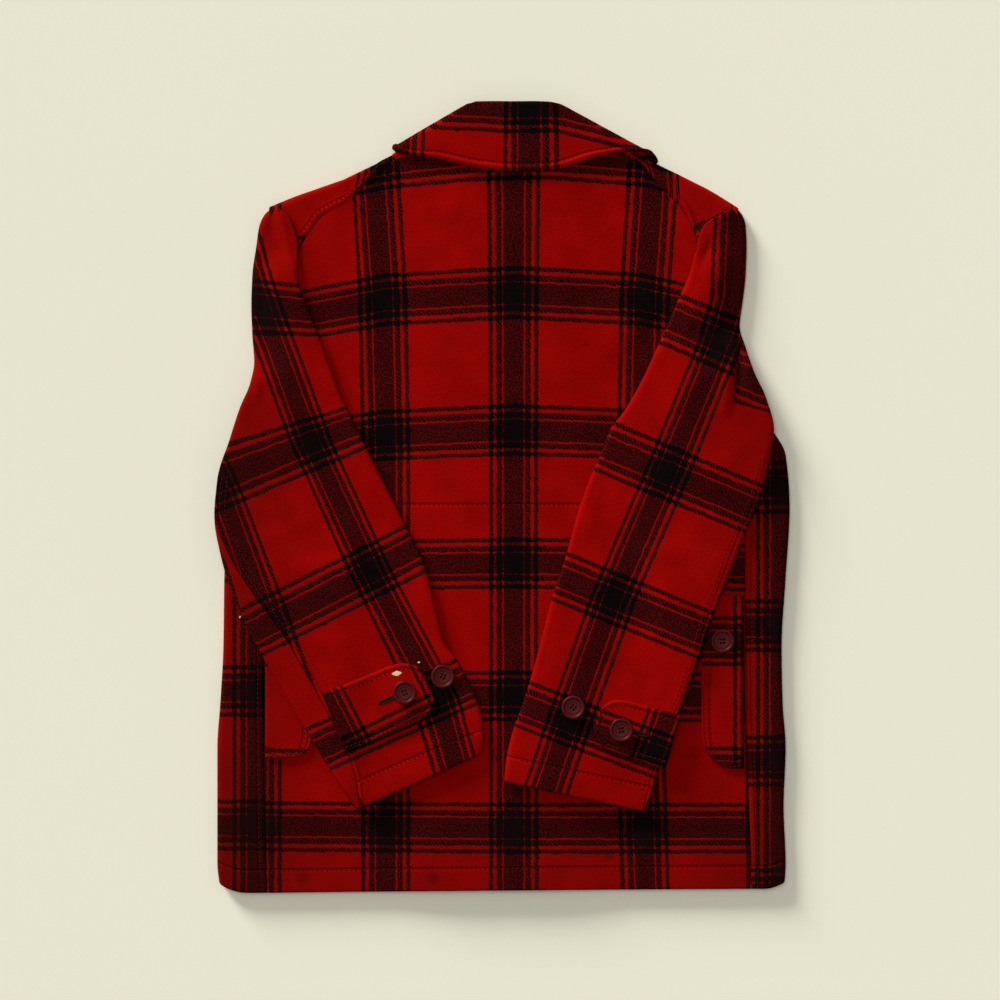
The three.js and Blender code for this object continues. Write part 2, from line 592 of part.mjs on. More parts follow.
function sleeveUnderGrid(table) {
  return table.slice(ARMPIT_STATION).map((row, i) => {
    const station = stationAt(table, i + ARMPIT_STATION);
    const r = ring(station);
    const start = r.end + station.tuck + SLEEVE_SEAM / 2 - r.around;
    const stop = station.seam - SLEEVE_SEAM / 2;
    const marks = [
      ...[1, 0.75, 0.5, 0.25].map((t) => t * start),
      ...ARC_STEPS.map((t) => t * r.arcs[0]),
      stop,
    ];
    return spread(marks, start, stop, CLOSEST.sleeve).map(r.path);
  });
}

// Level of the sleeve's top layer at (x, y)
function sleeveLevel(table, x, y) {
  const beyond = (t) => {
    const { outer, inner } = stationAt(table, t);
    return (inner[0] - outer[0]) * (y - outer[1]) - (inner[1] - outer[1]) * (x - outer[0]);
  };
  let [low, high] = [ARMPIT_STATION, table.length - 1];
  const sign = Math.sign(beyond(high));
  for (let i = 0; i < 30; i += 1) {
    const middle = (low + high) / 2;
    if (Math.sign(beyond(middle)) === sign) high = middle;
    else low = middle;
  }
  const station = stationAt(table, low);
  return ring(station).topLevel(Math.hypot(x - station.outer[0], y - station.outer[1]));
}

// Collar: a stand up to the roll line, round it, and a leaf folded down over the stand

function collarGrid() {
  const radius = COLLAR_FOLD_RADIUS;
  return COLLAR.map(({ roll, leaf, neck, turn }) => {
    const side = Math.sign(leaf[0]);
    const swing = turn * Math.PI / 180;
    const lift = (at, depth) => {
      const [x, y] = at;
      const top = bodyLevel(x, y);
      const bottom = FRONT_LEVEL + CLOSURE_LIFT;
      const out = ((top - bottom) / 2 + depth);
      const push = out * Math.sin(swing);
      return point(
        x + side * COLLAR_OUT.across * push,
        y + COLLAR_OUT.up * push,
        (top + bottom) / 2 + out * Math.cos(swing));
    };
    const stand = [0, 0.5, 1].map((t) => lift(mixPoints(neck, roll, t), 0));
    const reach = Math.hypot(roll[0] - leaf[0], roll[1] - leaf[1]);
    const ahead = [(roll[0] - leaf[0]) / reach, (roll[1] - leaf[1]) / reach];
    const round = [0.25, 0.5, 0.75].map((t) => {
      const angle = t * Math.PI;
      const beyond = radius * Math.sin(angle);
      return lift([roll[0] + ahead[0] * beyond, roll[1] + ahead[1] * beyond], radius * (1 - Math.cos(angle)));
    });
    const fall = [0, 0.2, 0.4, 0.6, 0.8, 1].map((t) => lift(mixPoints(roll, leaf, t), 2 * radius));
    return [...stand, ...round, ...fall];
  });
}

// Pocket ends on the back, sewn in at the side seams

function pocketGrid(side) {
  const rows = side < 0 ? POCKETS.left : POCKETS.right;
  const seam = side < 0 ? POCKET_SEAM.left : POCKET_SEAM.right;
  return rows.map((row) => (
    [0, 0.2, 0.4, 0.6, 0.8, 1].map((t) => {
      const x = side * mix(row.edge, seam, t);
      return point(x, row.y, bodyLevel(x, row.y) + LAYER);
    })));
}

// Cuff tabs, one end in the sleeve's seam, the other round

function tabGrid(table, { root, tip, width, round }) {
  const length = Math.hypot(tip[0] - root[0], tip[1] - root[1]);
  const along = [(tip[0] - root[0]) / length, (tip[1] - root[1]) / length];
  const places = [0, 0.25, 0.5, 0.75].map((t) => t * (length - round));
  for (const angle of [0, 25, 48, 68, 84]) {
    places.push(length - round + round * Math.sin(angle * Math.PI / 180));
  }
  return places.map((place) => {
    const past = clamp((place - length + round) / round, 0, 1);
    const half = (width / 2) * (TAB_TIP + (1 - TAB_TIP) * Math.sqrt(1 - past ** 2));
    return [-1, -0.6, -0.2, 0.2, 0.6, 1].map((t) => {
      const x = root[0] + along[0] * place - along[1] * half * t;
      const y = root[1] + along[1] * place + along[0] * half * t;
      return point(x, y, sleeveLevel(table, x, y) + CLOTH + TAB_AIR);
    });
  });
}

// Buttons

function toSolid(geometry) {
  const bare = geometry.clone();
  bare.deleteAttribute('normal');
  bare.deleteAttribute('uv');
  const merged = mergeVertices(bare, 1e-4);
  const mesh = new wasm.Mesh({
    numProp: 3,
    vertProperties: new Float32Array(merged.getAttribute('position').array),
    triVerts: new Uint32Array(merged.getIndex().array),
  });
  return new wasm.Manifold(mesh);
}

function toGeometry(solid) {
  const mesh = solid.getMesh();
  const geometry = new THREE.BufferGeometry();
  geometry.setAttribute('position', new THREE.Float32BufferAttribute(mesh.vertProperties, 3));
  geometry.setIndex(Array.from(mesh.triVerts));
  return geometry;
}

// Turned disc with a raised rim and four holes, standing on z = 0
function buttonGeometry() {
  const { radius, height, rim, dish, foot, hole, holeOffset, sides } = BUTTON;
  const profile = [
    [0, 0], [foot, 0], [radius, height * 0.42], [radius, height * 0.68],
    [radius - rim * 0.5, height], [radius - rim, height * 0.9],
    [radius - rim * 1.6, height - dish], [0, height - dish],
  ].map(([x, y]) => new THREE.Vector2(x, y));
  let solid = toSolid(new THREE.LatheGeometry(profile, sides).rotateX(Math.PI / 2));
  for (const angle of [45, 135, 225, 315]) {
    const turn = angle * Math.PI / 180;
    const drill = new THREE.CylinderGeometry(hole, hole, height * 3, 6).rotateX(Math.PI / 2);
    drill.translate(holeOffset * Math.cos(turn), holeOffset * Math.sin(turn), 0);
    solid = solid.subtract(toSolid(drill));
  }
  return toGeometry(solid);
}

function plainButtonGeometry() {
  const { radius, height, sides } = FRONT_BUTTON;
  return new THREE.CylinderGeometry(radius, radius * 0.94, height, sides).rotateX(Math.PI / 2);
}

// The jacket

const wool = new THREE.MeshStandardMaterial({ color: COLOURS.wool, roughness: 0.95, metalness: 0 });
const horn = new THREE.MeshStandardMaterial({ color: COLOURS.button, roughness: 0.45, metalness: 0 });
const jacket = new THREE.Group();

function add(name, geometry, material = wool) {
  const mesh = new THREE.Mesh(geometry, material);
  mesh.name = name;
  jacket.add(mesh);
  return mesh;
}

// Sets a button on cloth whose middle is at the given level over its whole foot
function setButton(name, [x, y], levelAt) {
  const foot = [0, 45, 90, 135, 180, 225, 270, 315].map((angle) => {
    const turn = angle * Math.PI / 180;
    return levelAt(x + BUTTON.radius * Math.cos(turn), y + BUTTON.radius * Math.sin(turn));
  });
  const top = Math.max(levelAt(x, y), ...foot);
  add(name, buttonGeometry(), horn).position.set(x, y, top + HALF + AIR);
}

for (const [side, key, sleeve] of [[-1, 'left', LEFT_SLEEVE], [1, 'right', RIGHT_SLEEVE]]) {
  add(`front_${key}`, wall(frontGrid(side)));
  add(`sleeve_${key}_upper`, wall(sleeveUpperGrid(sleeve)));
  add(`sleeve_${key}_under`, wall(sleeveUnderGrid(sleeve)));
  add(`pocket_end_${key}`, wall(pocketGrid(side)));
  add(`cuff_tab_${key}`, wall(tabGrid(sleeve, TABS[key])));
  const onSleeve = (x, y) => sleeveLevel(sleeve, x, y);
  setButton(`button_tab_${key}`, TABS[key].onTab, (x, y) => onSleeve(x, y) + CLOTH + TAB_AIR);
  setButton(`button_sleeve_${key}`, TABS[key].onSleeve, onSleeve);
}
add('back_panel', wall(backGrid()));
add('collar', wall(collarGrid()));
setButton('button_pocket_right', POCKET_BUTTON, (x, y) => bodyLevel(x, y) + LAYER);
for (let i = 0; i < FRONT_BUTTON.count; i += 1) {
  const y = FRONT_BUTTON.top - i * FRONT_BUTTON.spacing;
  add(`button_front_${i + 1}`, plainButtonGeometry(), horn).position.set(0, y, FRONT_BUTTON.height / 2);
}

jacket.position.set(-OUTLINE_MIDDLE.x, -OUTLINE_MIDDLE.y, 0);

export default jacket;
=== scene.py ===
"""Mackinaw jacket of heavy plaid wool, laid out face down, seen from straight above."""
import math

import bpy
import numpy as np
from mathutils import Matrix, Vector, noise


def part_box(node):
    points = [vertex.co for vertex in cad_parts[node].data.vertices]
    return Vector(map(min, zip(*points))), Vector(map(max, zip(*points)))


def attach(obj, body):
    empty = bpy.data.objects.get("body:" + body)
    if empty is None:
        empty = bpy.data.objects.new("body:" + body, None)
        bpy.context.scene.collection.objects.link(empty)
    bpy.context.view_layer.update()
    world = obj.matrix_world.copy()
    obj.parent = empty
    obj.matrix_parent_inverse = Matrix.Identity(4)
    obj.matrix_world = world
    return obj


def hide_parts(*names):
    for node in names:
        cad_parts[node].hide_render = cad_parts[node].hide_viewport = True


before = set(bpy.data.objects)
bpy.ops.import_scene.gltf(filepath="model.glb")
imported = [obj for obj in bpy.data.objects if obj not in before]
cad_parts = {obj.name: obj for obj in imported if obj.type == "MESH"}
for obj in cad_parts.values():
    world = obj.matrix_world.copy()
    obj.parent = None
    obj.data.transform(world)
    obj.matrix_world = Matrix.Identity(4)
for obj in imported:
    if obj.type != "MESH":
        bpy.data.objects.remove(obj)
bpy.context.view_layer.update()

# Millimetres from the middle of the back, as in the part's source
MM = 0.001
OUTLINE_MIDDLE = {"x": -0.02, "y": 1.066}

# Cloth, the air between its layers, and the levels of the middle of each layer
CLOTH = 3.0
AIR = 0.3
SEAM = 0.2
LAYER = CLOTH + AIR
HALF = CLOTH / 2
FRONT_LEVEL = HALF
BACK_LEVEL = 8.3
CENTRE_RISE = 3.8
CENTRE_FLAT = 38
CENTRE_END = 130

# Front closure, and where the fronts lie over the collar's front leaves
LAP_HALF = 32
CLOSURE_LIFT = 3.4
LAP_LIFT = 3.5
RAMP = {"start": 34, "end": 66}
NECK_COVER = {"flat_half_width": 158, "end_half_width": 188, "flat_from": 203, "end_at": 179}

# Folds, and the least distance between neighbouring points of one row
FOLD_INSET = 1.58
FOLD_RADIUS = 2.25
FLOOR_FOLD_RADIUS = 3.3
COLLAR_FOLD_RADIUS = 1.7
COLLAR_ROLL_PUSH = 0.3
COLLAR_OUT = {"across": 0.53, "up": 0.85}
CLOSEST = {"front": 1.4, "sleeve": 0.35}

# Sleeves and cuff tabs
SLEEVE_AIR = 0.6
SLEEVE_SEAM = 0.4
SLEEVE_DOME = 1.8
SLEEVE_CLIMB = 0.7
SLEEVE_RIDGE = {"width": 4, "fade": 40, "ends_from": 0.7}
ARMPIT_STATION = 8
TAB_AIR = 0.9
TAB_TIP = 0.2


def rows_of(names, *rows, **defaults):
    """Rows of values under named columns. What a short row leaves out is taken from defaults."""
    return [{**defaults, **dict(zip(names.split(), row))} for row in rows]


def sleeve_table(*rows):
    """Stations of a sleeve from shoulder to cuff, each from its outer to its inner edge."""
    names = "outer inner tuck seam lift fold hole ridge step"
    return rows_of(names, *rows, lift=1, fold=1, hole=0, ridge=0, step=0)


# The body below the armholes: distances from the middle to the side folds and side seams
BODY = rows_of(
    "y fold_left seam_left fold_right seam_right",
    (-390, 283, 234, 283, 249), (-366, 285, 236, 284, 249), (-310, 285, 237, 282, 247),
    (-250, 285, 238, 284, 245), (-205, 282, 238, 281, 243), (-150, 279, 238, 280, 243),
    (-80, 278, 238, 284, 243), (-10, 274, 239, 288, 243), (42, 264, 240, 284, 244),
    (70, 258, 240, 269, 245), (92, 253, 241, 257, 244),
)
HEM = {"floor": -388, "fold": -383.5, "left": -395.5, "right": -391.5, "round": 22, "middle": -393}
ARMPIT = {"y": 104, "left": 252, "right": 255, "top_run": 4}

# The body above them, each side as distances from the middle and heights
FRONT_NECK = {
    "left": [[103, 327.5], [89, 313.5], [64, 297], [36, 289], [-32, 287.5]],
    "right": [[132, 327.5], [118, 313.5], [90, 298], [36, 289], [-32, 287.5]],
}
SHOULDER_FOLD = {
    "left": [[114, 339.5], [158, 318.5], [204, 302.5], [220, 296]],
    "right": [[141, 340], [175, 324], [204, 309.5], [224.5, 297]],
}
SHOULDER_SEAM = {
    "left": [[114, 335], [158, 294.5], [181.5, 279.5], [199, 255.5]],
    "right": [[137, 335.5], [162, 305.5], [182, 286.5], [195, 258.5]],
}
BACK_ARMHOLE = {
    "left": [[236, 112], [222, 150], [213, 190], [208, 225]],
    "right": [[236, 112], [219, 150], [206, 190], [199, 225]],
}
BACK_NECK = {"y": 348, "knots": 3}
BACK_COLUMNS = 15
LEFT_SLEEVE = sleeve_table(
    ((-231, 288), (-224, 288), 0, 0, 0, 0, 221), ((-237, 283.5), (-214, 283.5), 0, 0, 0, 0, 221),
    ((-243, 271.5), (-209, 271.5), 0, 0, 0, 0, 217), ((-246, 251.5), (-204, 251.5), 0, 0, 0, 0, 214),
    ((-250, 222.5), (-204, 222.5), 3, 0, 0, 0.7, 213), ((-251, 192.5), (-196, 194.5), 15, 0, 0, 1, 214),
    ((-250, 162.5), (-183, 161.5), 34, 0, 0, 1, 220), ((-248, 135.5), (-173, 135.5), 42, 0, 0.35, 1, 232),
    ((-252, 113.5), (-168, 121.5), 42, -2, 1, 1, 241), ((-262, 89.5), (-161, 102.5), 40, -1),
    ((-273, 55.5), (-151, 81.5), 38, 1), ((-284.5, 19.5), (-140, 58.5), 36, 3),
    ((-288, -17.5), (-128, 34.5), 36, 4), ((-281, -58.5), (-112, 3.5), 36, 12),
    ((-266, -104.5), (-95, -30.5), 36, 23), ((-246, -146.5), (-79, -62.5), 36, 32),
    ((-225, -183.5), (-66.5, -107.5), 36, 33), ((-205, -217.5), (-58, -142.5), 35, 32),
    ((-188, -245.5), (-43, -165.5), 34, 30), ((-173, -270.5), (-29, -193.5), 34, 27),
    ((-160, -290.5), (-20, -219.5), 34, 20), ((-151, -303.5), (-18, -240.5), 34, 12),
    ((-145, -311.5), (-22, -256.5), 34, 8),
)
RIGHT_SLEEVE = sleeve_table(
    ((236, 288), (229, 288), 0, 0, 0, 0, 226), ((241, 281.5), (219, 282.5), 0, 0, 0, 0, 225),
    ((244, 271.5), (203, 273.5), 0, 0, 0, 0, 219), ((245, 251.5), (195, 250.5), 0, 0, 0, 0, 214),
    ((244, 222.5), (187, 222.5), 5, 0, 0, 0.7, 212), ((241, 195.5), (176, 197.5), 24, 0, 0, 1, 214),
    ((238, 171.5), (166, 173.5), 40, 0, 0, 1, 219),
    ((244, 149.5), (154, 147.5), 48, 0, 0.35, 1, 226, 10, 3),
    ((252, 125.5), (143, 123.5), 46, -2, 1, 1, 241, 21, 3),
    ((264, 99.5), (132, 102.5), 42, -1, 1, 1, 0, 37, 3),
    ((272, 67.5), (121, 84.5), 40, 0, 1, 1, 0, 50, 1.6), ((267, 39.5), (108, 67.5), 38, 1),
    ((255.5, -7.5), (99, 44.5), 36, 2), ((240, -42.5), (88, 19.5), 36, 3),
    ((225, -82.5), (75, -17.5), 36, 3), ((210, -122.5), (64, -57.5), 36, 3),
    ((197, -165.5), (50, -99.5), 36, 3), ((184, -202.5), (40, -138.5), 35, 3),
    ((172, -230.5), (31, -172.5), 34, 3), ((162, -259.5), (20, -207.5), 34, 3),
    ((155, -278.5), (11, -232.5), 34, 3), ((150, -297.5), (5, -257.5), 34, 3),
    ((146, -314.5), (2, -283.5), 34, 3),
)
SLEEVES = {"left": LEFT_SLEEVE, "right": RIGHT_SLEEVE}
COLLAR = rows_of(
    "roll leaf neck turn",
    ((-32, 309.5), (-72, 213.5), (-36, 290.1), 180), ((-26, 334.5), (-92, 235.5), (-63.5, 298.1), 180),
    ((-25, 359.5), (-102, 275.5), (-88.2, 314.4), 180), ((-30, 381.5), (-102, 317.5), (-102.2, 328.3), 180),
    ((-33.5, 389.5), (-102, 337.5), (-108, 337), 180), ((-34.5, 389.5), (-105.5, 343.5), (-109, 339), 135),
    ((-35, 389.5), (-107, 344), (-109, 340), 90), ((-34.5, 390.5), (-106.5, 344.5), (-109, 340), 45),
    ((-32.5, 392), (-103, 344.5), (-108, 338.2), 0), ((-26, 393.2), (-65, 338.5), (-61, 348.8), 0),
    ((-10, 393.2), (-24, 329), (-22, 348.8), 0), ((10, 393), (19, 325.5), (18, 348.8), 0),
    ((31, 393.2), (50, 327), (54, 348.8), 0), ((47, 393.2), (97, 341), (84, 348.8), 0),
    ((56, 392), (130, 346.5), (132.5, 338.5), 0), ((58, 390.5), (146, 341), (134, 340), 45),
    ((58.5, 389), (153.5, 332), (135, 340.5), 90), ((58, 388.5), (152.5, 331), (134.5, 339), 135),
    ((57, 388.5), (148, 331.5), (133, 336.5), 180), ((54, 381.5), (138, 312), (131.2, 328.3), 180),
    ((50, 359.5), (138, 275.5), (117.2, 314.4), 180), ((43, 334.5), (123, 235.5), (89.5, 299.1), 180),
    ((34, 309.5), (90, 213.5), (36, 290.1), 180),
)
POCKETS = {
    "left": rows_of(
        "y edge",
        (-98, 189), (-140, 189), (-190, 189), (-235, 189), (-247, 191), (-254, 196), (-258.5, 204),
        (-260, 216),
    ),
    "right": rows_of(
        "y edge",
        (-98, 199), (-140, 199), (-190, 199), (-236, 199.5), (-252, 203), (-259, 208), (-267.5, 219),
        (-271, 228),
    ),
}
POCKET_SEAM = {"left": 236.5, "right": 242}
POCKET_RISE = {"reach": 66, "full": 26}
TABS = {
    "left": {"root": [-168, -225.5], "tip": [-72, -186.5], "width": 64, "round": 29, "button": [-97, -194.5]},
    "right": {"root": [171, -243], "tip": [94.5, -222], "width": 53, "round": 24, "button": [119, -232]},
}

# Low swells of the back
WAVES = rows_of(
    "from to width height",
    ((-150, 250), (-60, 120), 34, 0.9), ((150, 250), (70, 110), 32, 1.0), ((-40, -60), (60, -120), 46, 0.8),
    ((-190, -300), (-60, -345), 30, 0.8), ((90, -330), (210, -370), 30, 0.8),
)


def clamp(value, low, high):
    return min(high, max(low, value))


def smooth(t):
    c = clamp(t, 0, 1)
    return c * c * (3 - 2 * c)


def mix(a, b, t):
    return a + (b - a) * t


def mix_points(a, b, t):
    return [mix(a[0], b[0], t), mix(a[1], b[1], t)]


def along_line(points, places, place):
    """A point on a bent line whose corners fall at the given places along it."""
    i = 0
    while i < len(places) - 2 and place > places[i + 1]:
        i += 1
    return mix_points(points[i], points[i + 1], (place - places[i]) / (places[i + 1] - places[i]))


def spread(marks, start, end, step):
    """Steps kept in order between start and end, at least step apart."""
    last = len(marks) - 1
    kept = []
    for k, mark in enumerate(marks):
        low = start + k * step
        high = end - (last - k) * step
        kept.append(clamp(mark, min(low, high), max(low, high)))
    return kept


# Levels of the middle of each layer of cloth

def wave(x, y, row):
    ax, ay = row["from"]
    dx = row["to"][0] - ax
    dy = row["to"][1] - ay
    t = clamp(((x - ax) * dx + (y - ay) * dy) / (dx * dx + dy * dy), 0, 1)
    distance = math.hypot(x - ax - dx * t, y - ay - dy * t)
    return row["height"] * math.exp(-((distance / row["width"]) ** 2))


def body_level(x, y):
    rise = CENTRE_RISE * smooth((CENTRE_END - abs(x)) / (CENTRE_END - CENTRE_FLAT))
    return BACK_LEVEL + rise + sum(wave(x, y, row) for row in WAVES)


def front_level(side, x, y):
    def ramp(distance):
        return clamp((RAMP["end"] - distance) / (RAMP["end"] - RAMP["start"]), 0, 1)

    cover = NECK_COVER
    width = cover["end_half_width"] - cover["flat_half_width"]
    across = clamp((cover["end_half_width"] - abs(x)) / width, 0, 1)
    up = clamp((y - cover["end_at"]) / (cover["flat_from"] - cover["end_at"]), 0, 1)
    lap = ramp(x) if side > 0 else 0
    return FRONT_LEVEL + CLOSURE_LIFT * max(ramp(abs(x)), min(across, up)) + LAP_LIFT * lap


def pocket_rise(x, y):
    rows = POCKETS["left"] if x < 0 else POCKETS["right"]
    edge = min(row["edge"] for row in rows)
    reach = POCKET_RISE["reach"]
    span = reach - POCKET_RISE["full"]
    across = smooth((abs(x) - edge + reach) / span)
    top = smooth((rows[0]["y"] + reach - y) / span)
    bottom = smooth((y - rows[-1]["y"] + reach) / span)
    return across * top * bottom


def bed_level(x, y):
    return body_level(x, y) + CLOTH + SLEEVE_AIR + LAYER * pocket_rise(x, y)


# Fronts

CLOSURE_COLUMNS = [-LAP_HALF, 0, RAMP["start"], 50, RAMP["end"], 108, 158, 200]
ARC_STEPS = [0, 0.25, 0.5, 0.75, 1]
TOP_STEPS = [0.5, 1]
FRONT_COLUMNS = len(CLOSURE_COLUMNS) + len(ARC_STEPS) + len(TOP_STEPS)
FRONT_TOP_COLUMN = len(CLOSURE_COLUMNS) + len(ARC_STEPS) - 1


def front_row(side, start, base, end, y_at):
    x = side * base
    floor = front_level(side, x, start[1])
    roof = body_level(x, start[1])
    radius = (roof - floor) / 2
    arc = math.pi * radius
    marks = [
        *CLOSURE_COLUMNS,
        *[base + t * arc for t in ARC_STEPS],
        *[base + arc + t * (end - base - arc) for t in TOP_STEPS],
    ]
    row = []
    for mark in spread(marks, start[0], end, CLOSEST["front"]):
        y = y_at(mark, base + arc)
        if mark <= base:
            row.append((side * mark, y, front_level(side, side * mark, y)))
        elif mark >= base + arc:
            top = side * (base - (mark - base - arc))
            row.append((top, y, body_level(top, y)))
        else:
            turn = (mark - base) / radius
            row.append((side * (base + radius * math.sin(turn)), y, floor + radius * (1 - math.cos(turn))))
    return row


def wrapped_row(side, y, fold, seam, y_at=None):
    radius = (body_level(side * fold, y) - front_level(side, side * fold, y)) / 2
    base = fold - HALF - radius
    end = base + math.pi * radius + (base - seam - SEAM / 2)
    return front_row(side, [-LAP_HALF, y], base, end, y_at or (lambda mark, top: y))


def front_grid(key):
    side = -1 if key == "left" else 1

    def hem(mark, top):
        rounded = smooth((mark - top + HEM["round"] / 2) / HEM["round"])
        under = mix(HEM["floor"], HEM["fold"], smooth((mark - top + HEM["round"]) / HEM["round"]))
        return mix(under, HEM[key], rounded)

    rows = []
    for i, row in enumerate(BODY):
        rows.append(wrapped_row(side, row["y"], row["fold_" + key], row["seam_" + key], None if i else hem))
    at_armpit = ARMPIT[key]
    rows.append(wrapped_row(side, ARMPIT["y"], at_armpit, at_armpit - 2 * HALF - ARMPIT["top_run"]))
    base = at_armpit - HALF - (BACK_LEVEL - FRONT_LEVEL) / 2

    # Beside the armhole, each row ends at the sleeve's edge and starts at the lap or neck
    stations = SLEEVES[key][:ARMPIT_STATION][::-1]
    starts = [[-LAP_HALF, 132], [-LAP_HALF, 172], [-LAP_HALF, 220], *FRONT_NECK[key][::-1]]
    for station, start in zip(stations, starts):
        end = [station["hole"] - SEAM, station["outer"][1]]
        rows.append(front_row(side, start, base, end[0], lambda mark, top, a=start, b=end: mix(
            a[1], b[1], (mark - a[0]) / (b[0] - a[0]))))

    # Over the shoulder fold and down the back to the shoulder seam
    last = FRONT_COLUMNS - 1
    columns = []
    for k in range(FRONT_COLUMNS):
        outline = along_line(SHOULDER_FOLD[key], [0, 8, 13, last], k)
        seam = along_line(SHOULDER_SEAM[key], [0, 7, 12, last], k)
        x = side * outline[0]
        floor = front_level(side, x, outline[1])
        radius = (body_level(x, outline[1]) - floor) / 2
        columns.append((x, outline[1] - radius - FOLD_INSET, floor, radius, [side * seam[0], seam[1] + SEAM]))
    for t in ARC_STEPS:
        turn = t * math.pi
        rows.append([(x, y + radius * math.sin(turn), floor + radius * (1 - math.cos(turn)))
                     for x, y, floor, radius, seam in columns])
    for t in TOP_STEPS:
        places = [mix_points([x, y], seam, t) for x, y, _, _, seam in columns]
        rows.append([(x, y, body_level(x, y)) for x, y in places])
    return rows


def back_grid():
    ends = []
    for i, row in enumerate(BODY):
        left = [row["seam_left"], row["y"] if i else HEM["left"]]
        right = [row["seam_right"], row["y"] if i else HEM["right"]]
        ends.append((left, right, 0 if i else HEM["middle"] - (HEM["left"] + HEM["right"]) / 2, False))
    for left, right in zip(BACK_ARMHOLE["left"], BACK_ARMHOLE["right"]):
        ends.append((left, right, 0, False))
    for left, right in zip(SHOULDER_SEAM["left"][:0:-1], SHOULDER_SEAM["right"][:0:-1]):
        ends.append(([left[0], left[1] - SEAM / 2], [right[0], right[1] - SEAM / 2], 0, False))
    ends.append((SHOULDER_SEAM["left"][0], SHOULDER_SEAM["right"][0], 0, True))
    last = BACK_COLUMNS - 1
    rows = []
    for left, right, sag, neck in ends:
        row = []
        for k in range(BACK_COLUMNS):
            t = k / last
            x = mix(-left[0] + SEAM / 2, right[0] - SEAM / 2, t)
            y = mix(left[1], right[1], t)
            if neck:
                up = clamp(min(k, last - k) / BACK_NECK["knots"], 0, 1)
                y = mix(y - SEAM, BACK_NECK["y"], up)
            else:
                y += sag * math.sin(math.pi * t)
            row.append((x, y, body_level(x, y)))
        rows.append(row)
    return rows


# Sleeves

def station_at(table, t):
    i = int(clamp(math.floor(t), 0, len(table) - 2))
    a, b = table[i], table[i + 1]
    f = t - i
    return {name: (mix_points if name in ("outer", "inner") else mix)(a[name], b[name], f) for name in a}


def ring(station):
    """The flattened ring of cloth at one station: round the outer edge, over the top, round the
    inner edge and back underneath."""
    outer, inner, lift, fold = station["outer"], station["inner"], station["lift"], station["fold"]
    width = math.hypot(inner[0] - outer[0], inner[1] - outer[1])
    across = [(inner[0] - outer[0]) / width, (inner[1] - outer[1]) / width]

    def place(a):
        return outer[0] + across[0] * a, outer[1] + across[1] * a

    def bed(a):
        return bed_level(*place(a))

    outer_radius = mix(min(FLOOR_FOLD_RADIUS, width / 2), FOLD_RADIUS, lift)
    inner_radius = FOLD_RADIUS * fold
    start = outer_radius + HALF
    stop = max(width - inner_radius - (HALF if fold > 0 else 0), start + 0.5)
    low = mix(FRONT_LEVEL, bed(start), lift)
    high = low + 2 * outer_radius
    run = stop - start

    def top_level(a):
        w = clamp((a - start) / run, 0, 1)
        resting = bed(a) + 2 * inner_radius
        climb = 1 if lift == 1 else smooth(w / SLEEVE_CLIMB)
        dome = SLEEVE_DOME * fold * math.sin(math.pi * w)
        past = a - station["ridge"]
        edge = clamp(past / SLEEVE_RIDGE["width"], 0, 1) * math.exp(-max(0, past) / SLEEVE_RIDGE["fade"])
        near = smooth((w - SLEEVE_RIDGE["ends_from"]) / (1 - SLEEVE_RIDGE["ends_from"]))
        return mix(high, resting, climb) + dome + station["step"] * edge * (1 - near)

    arcs = [math.pi * outer_radius, math.pi * inner_radius]
    end = arcs[0] + run + arcs[1]

    def path(t):
        if t < 0:
            a = start - t
            z = mix(FRONT_LEVEL, bed(a), lift)
        elif t < arcs[0]:
            turn = t / outer_radius
            a = start - outer_radius * math.sin(turn)
            z = low + outer_radius * (1 - math.cos(turn))
        elif t <= arcs[0] + run:
            a = start + t - arcs[0]
            z = top_level(a)
        elif t < end:
            turn = (t - arcs[0] - run) / inner_radius
            a = stop + inner_radius * math.sin(turn)
            z = bed(stop) + inner_radius * (1 + math.cos(turn))
        else:
            a = stop - (t - end)
            z = bed(a)
        return (*place(a), z)

    on_floor = -(abs(outer[0]) - station["hole"] - SEAM - start)
    return {"path": path, "arcs": arcs, "run": run, "end": end, "around": end + run,
            "top_level": top_level, "on_floor": on_floor}


SLEEVE_TOP_STEPS = 7
SLEEVE_FIRST_TOP = 6
SLEEVE_LAST_TOP = SLEEVE_FIRST_TOP + SLEEVE_TOP_STEPS


def sleeve_upper_grid(table):
    rows = []
    for i in range(len(table)):
        station = station_at(table, i)
        r = ring(station)
        start = min(r["on_floor"], -0.5) if i < ARMPIT_STATION else station["seam"] + SLEEVE_SEAM / 2
        stop = r["end"] + station["tuck"]
        marks = [
            start, start / 2,
            *[t * r["arcs"][0] for t in ARC_STEPS],
            *[r["arcs"][0] + r["run"] * k / SLEEVE_TOP_STEPS for k in range(1, SLEEVE_TOP_STEPS + 1)],
            *[r["end"] - r["arcs"][1] * (1 - t) for t in ARC_STEPS[1:]],
            stop,
        ]
        rows.append([r["path"](mark) for mark in spread(marks, start, stop, CLOSEST["sleeve"])])
    return rows


def sleeve_under_grid(table):
    rows = []
    for i in range(ARMPIT_STATION, len(table)):
        station = station_at(table, i)
        r = ring(station)
        start = r["end"] + station["tuck"] + SLEEVE_SEAM / 2 - r["around"]
        stop = station["seam"] - SLEEVE_SEAM / 2
        marks = [*[t * start for t in (1, 0.75, 0.5, 0.25)], *[t * r["arcs"][0] for t in ARC_STEPS], stop]
        rows.append([r["path"](mark) for mark in spread(marks, start, stop, CLOSEST["sleeve"])])
    return rows


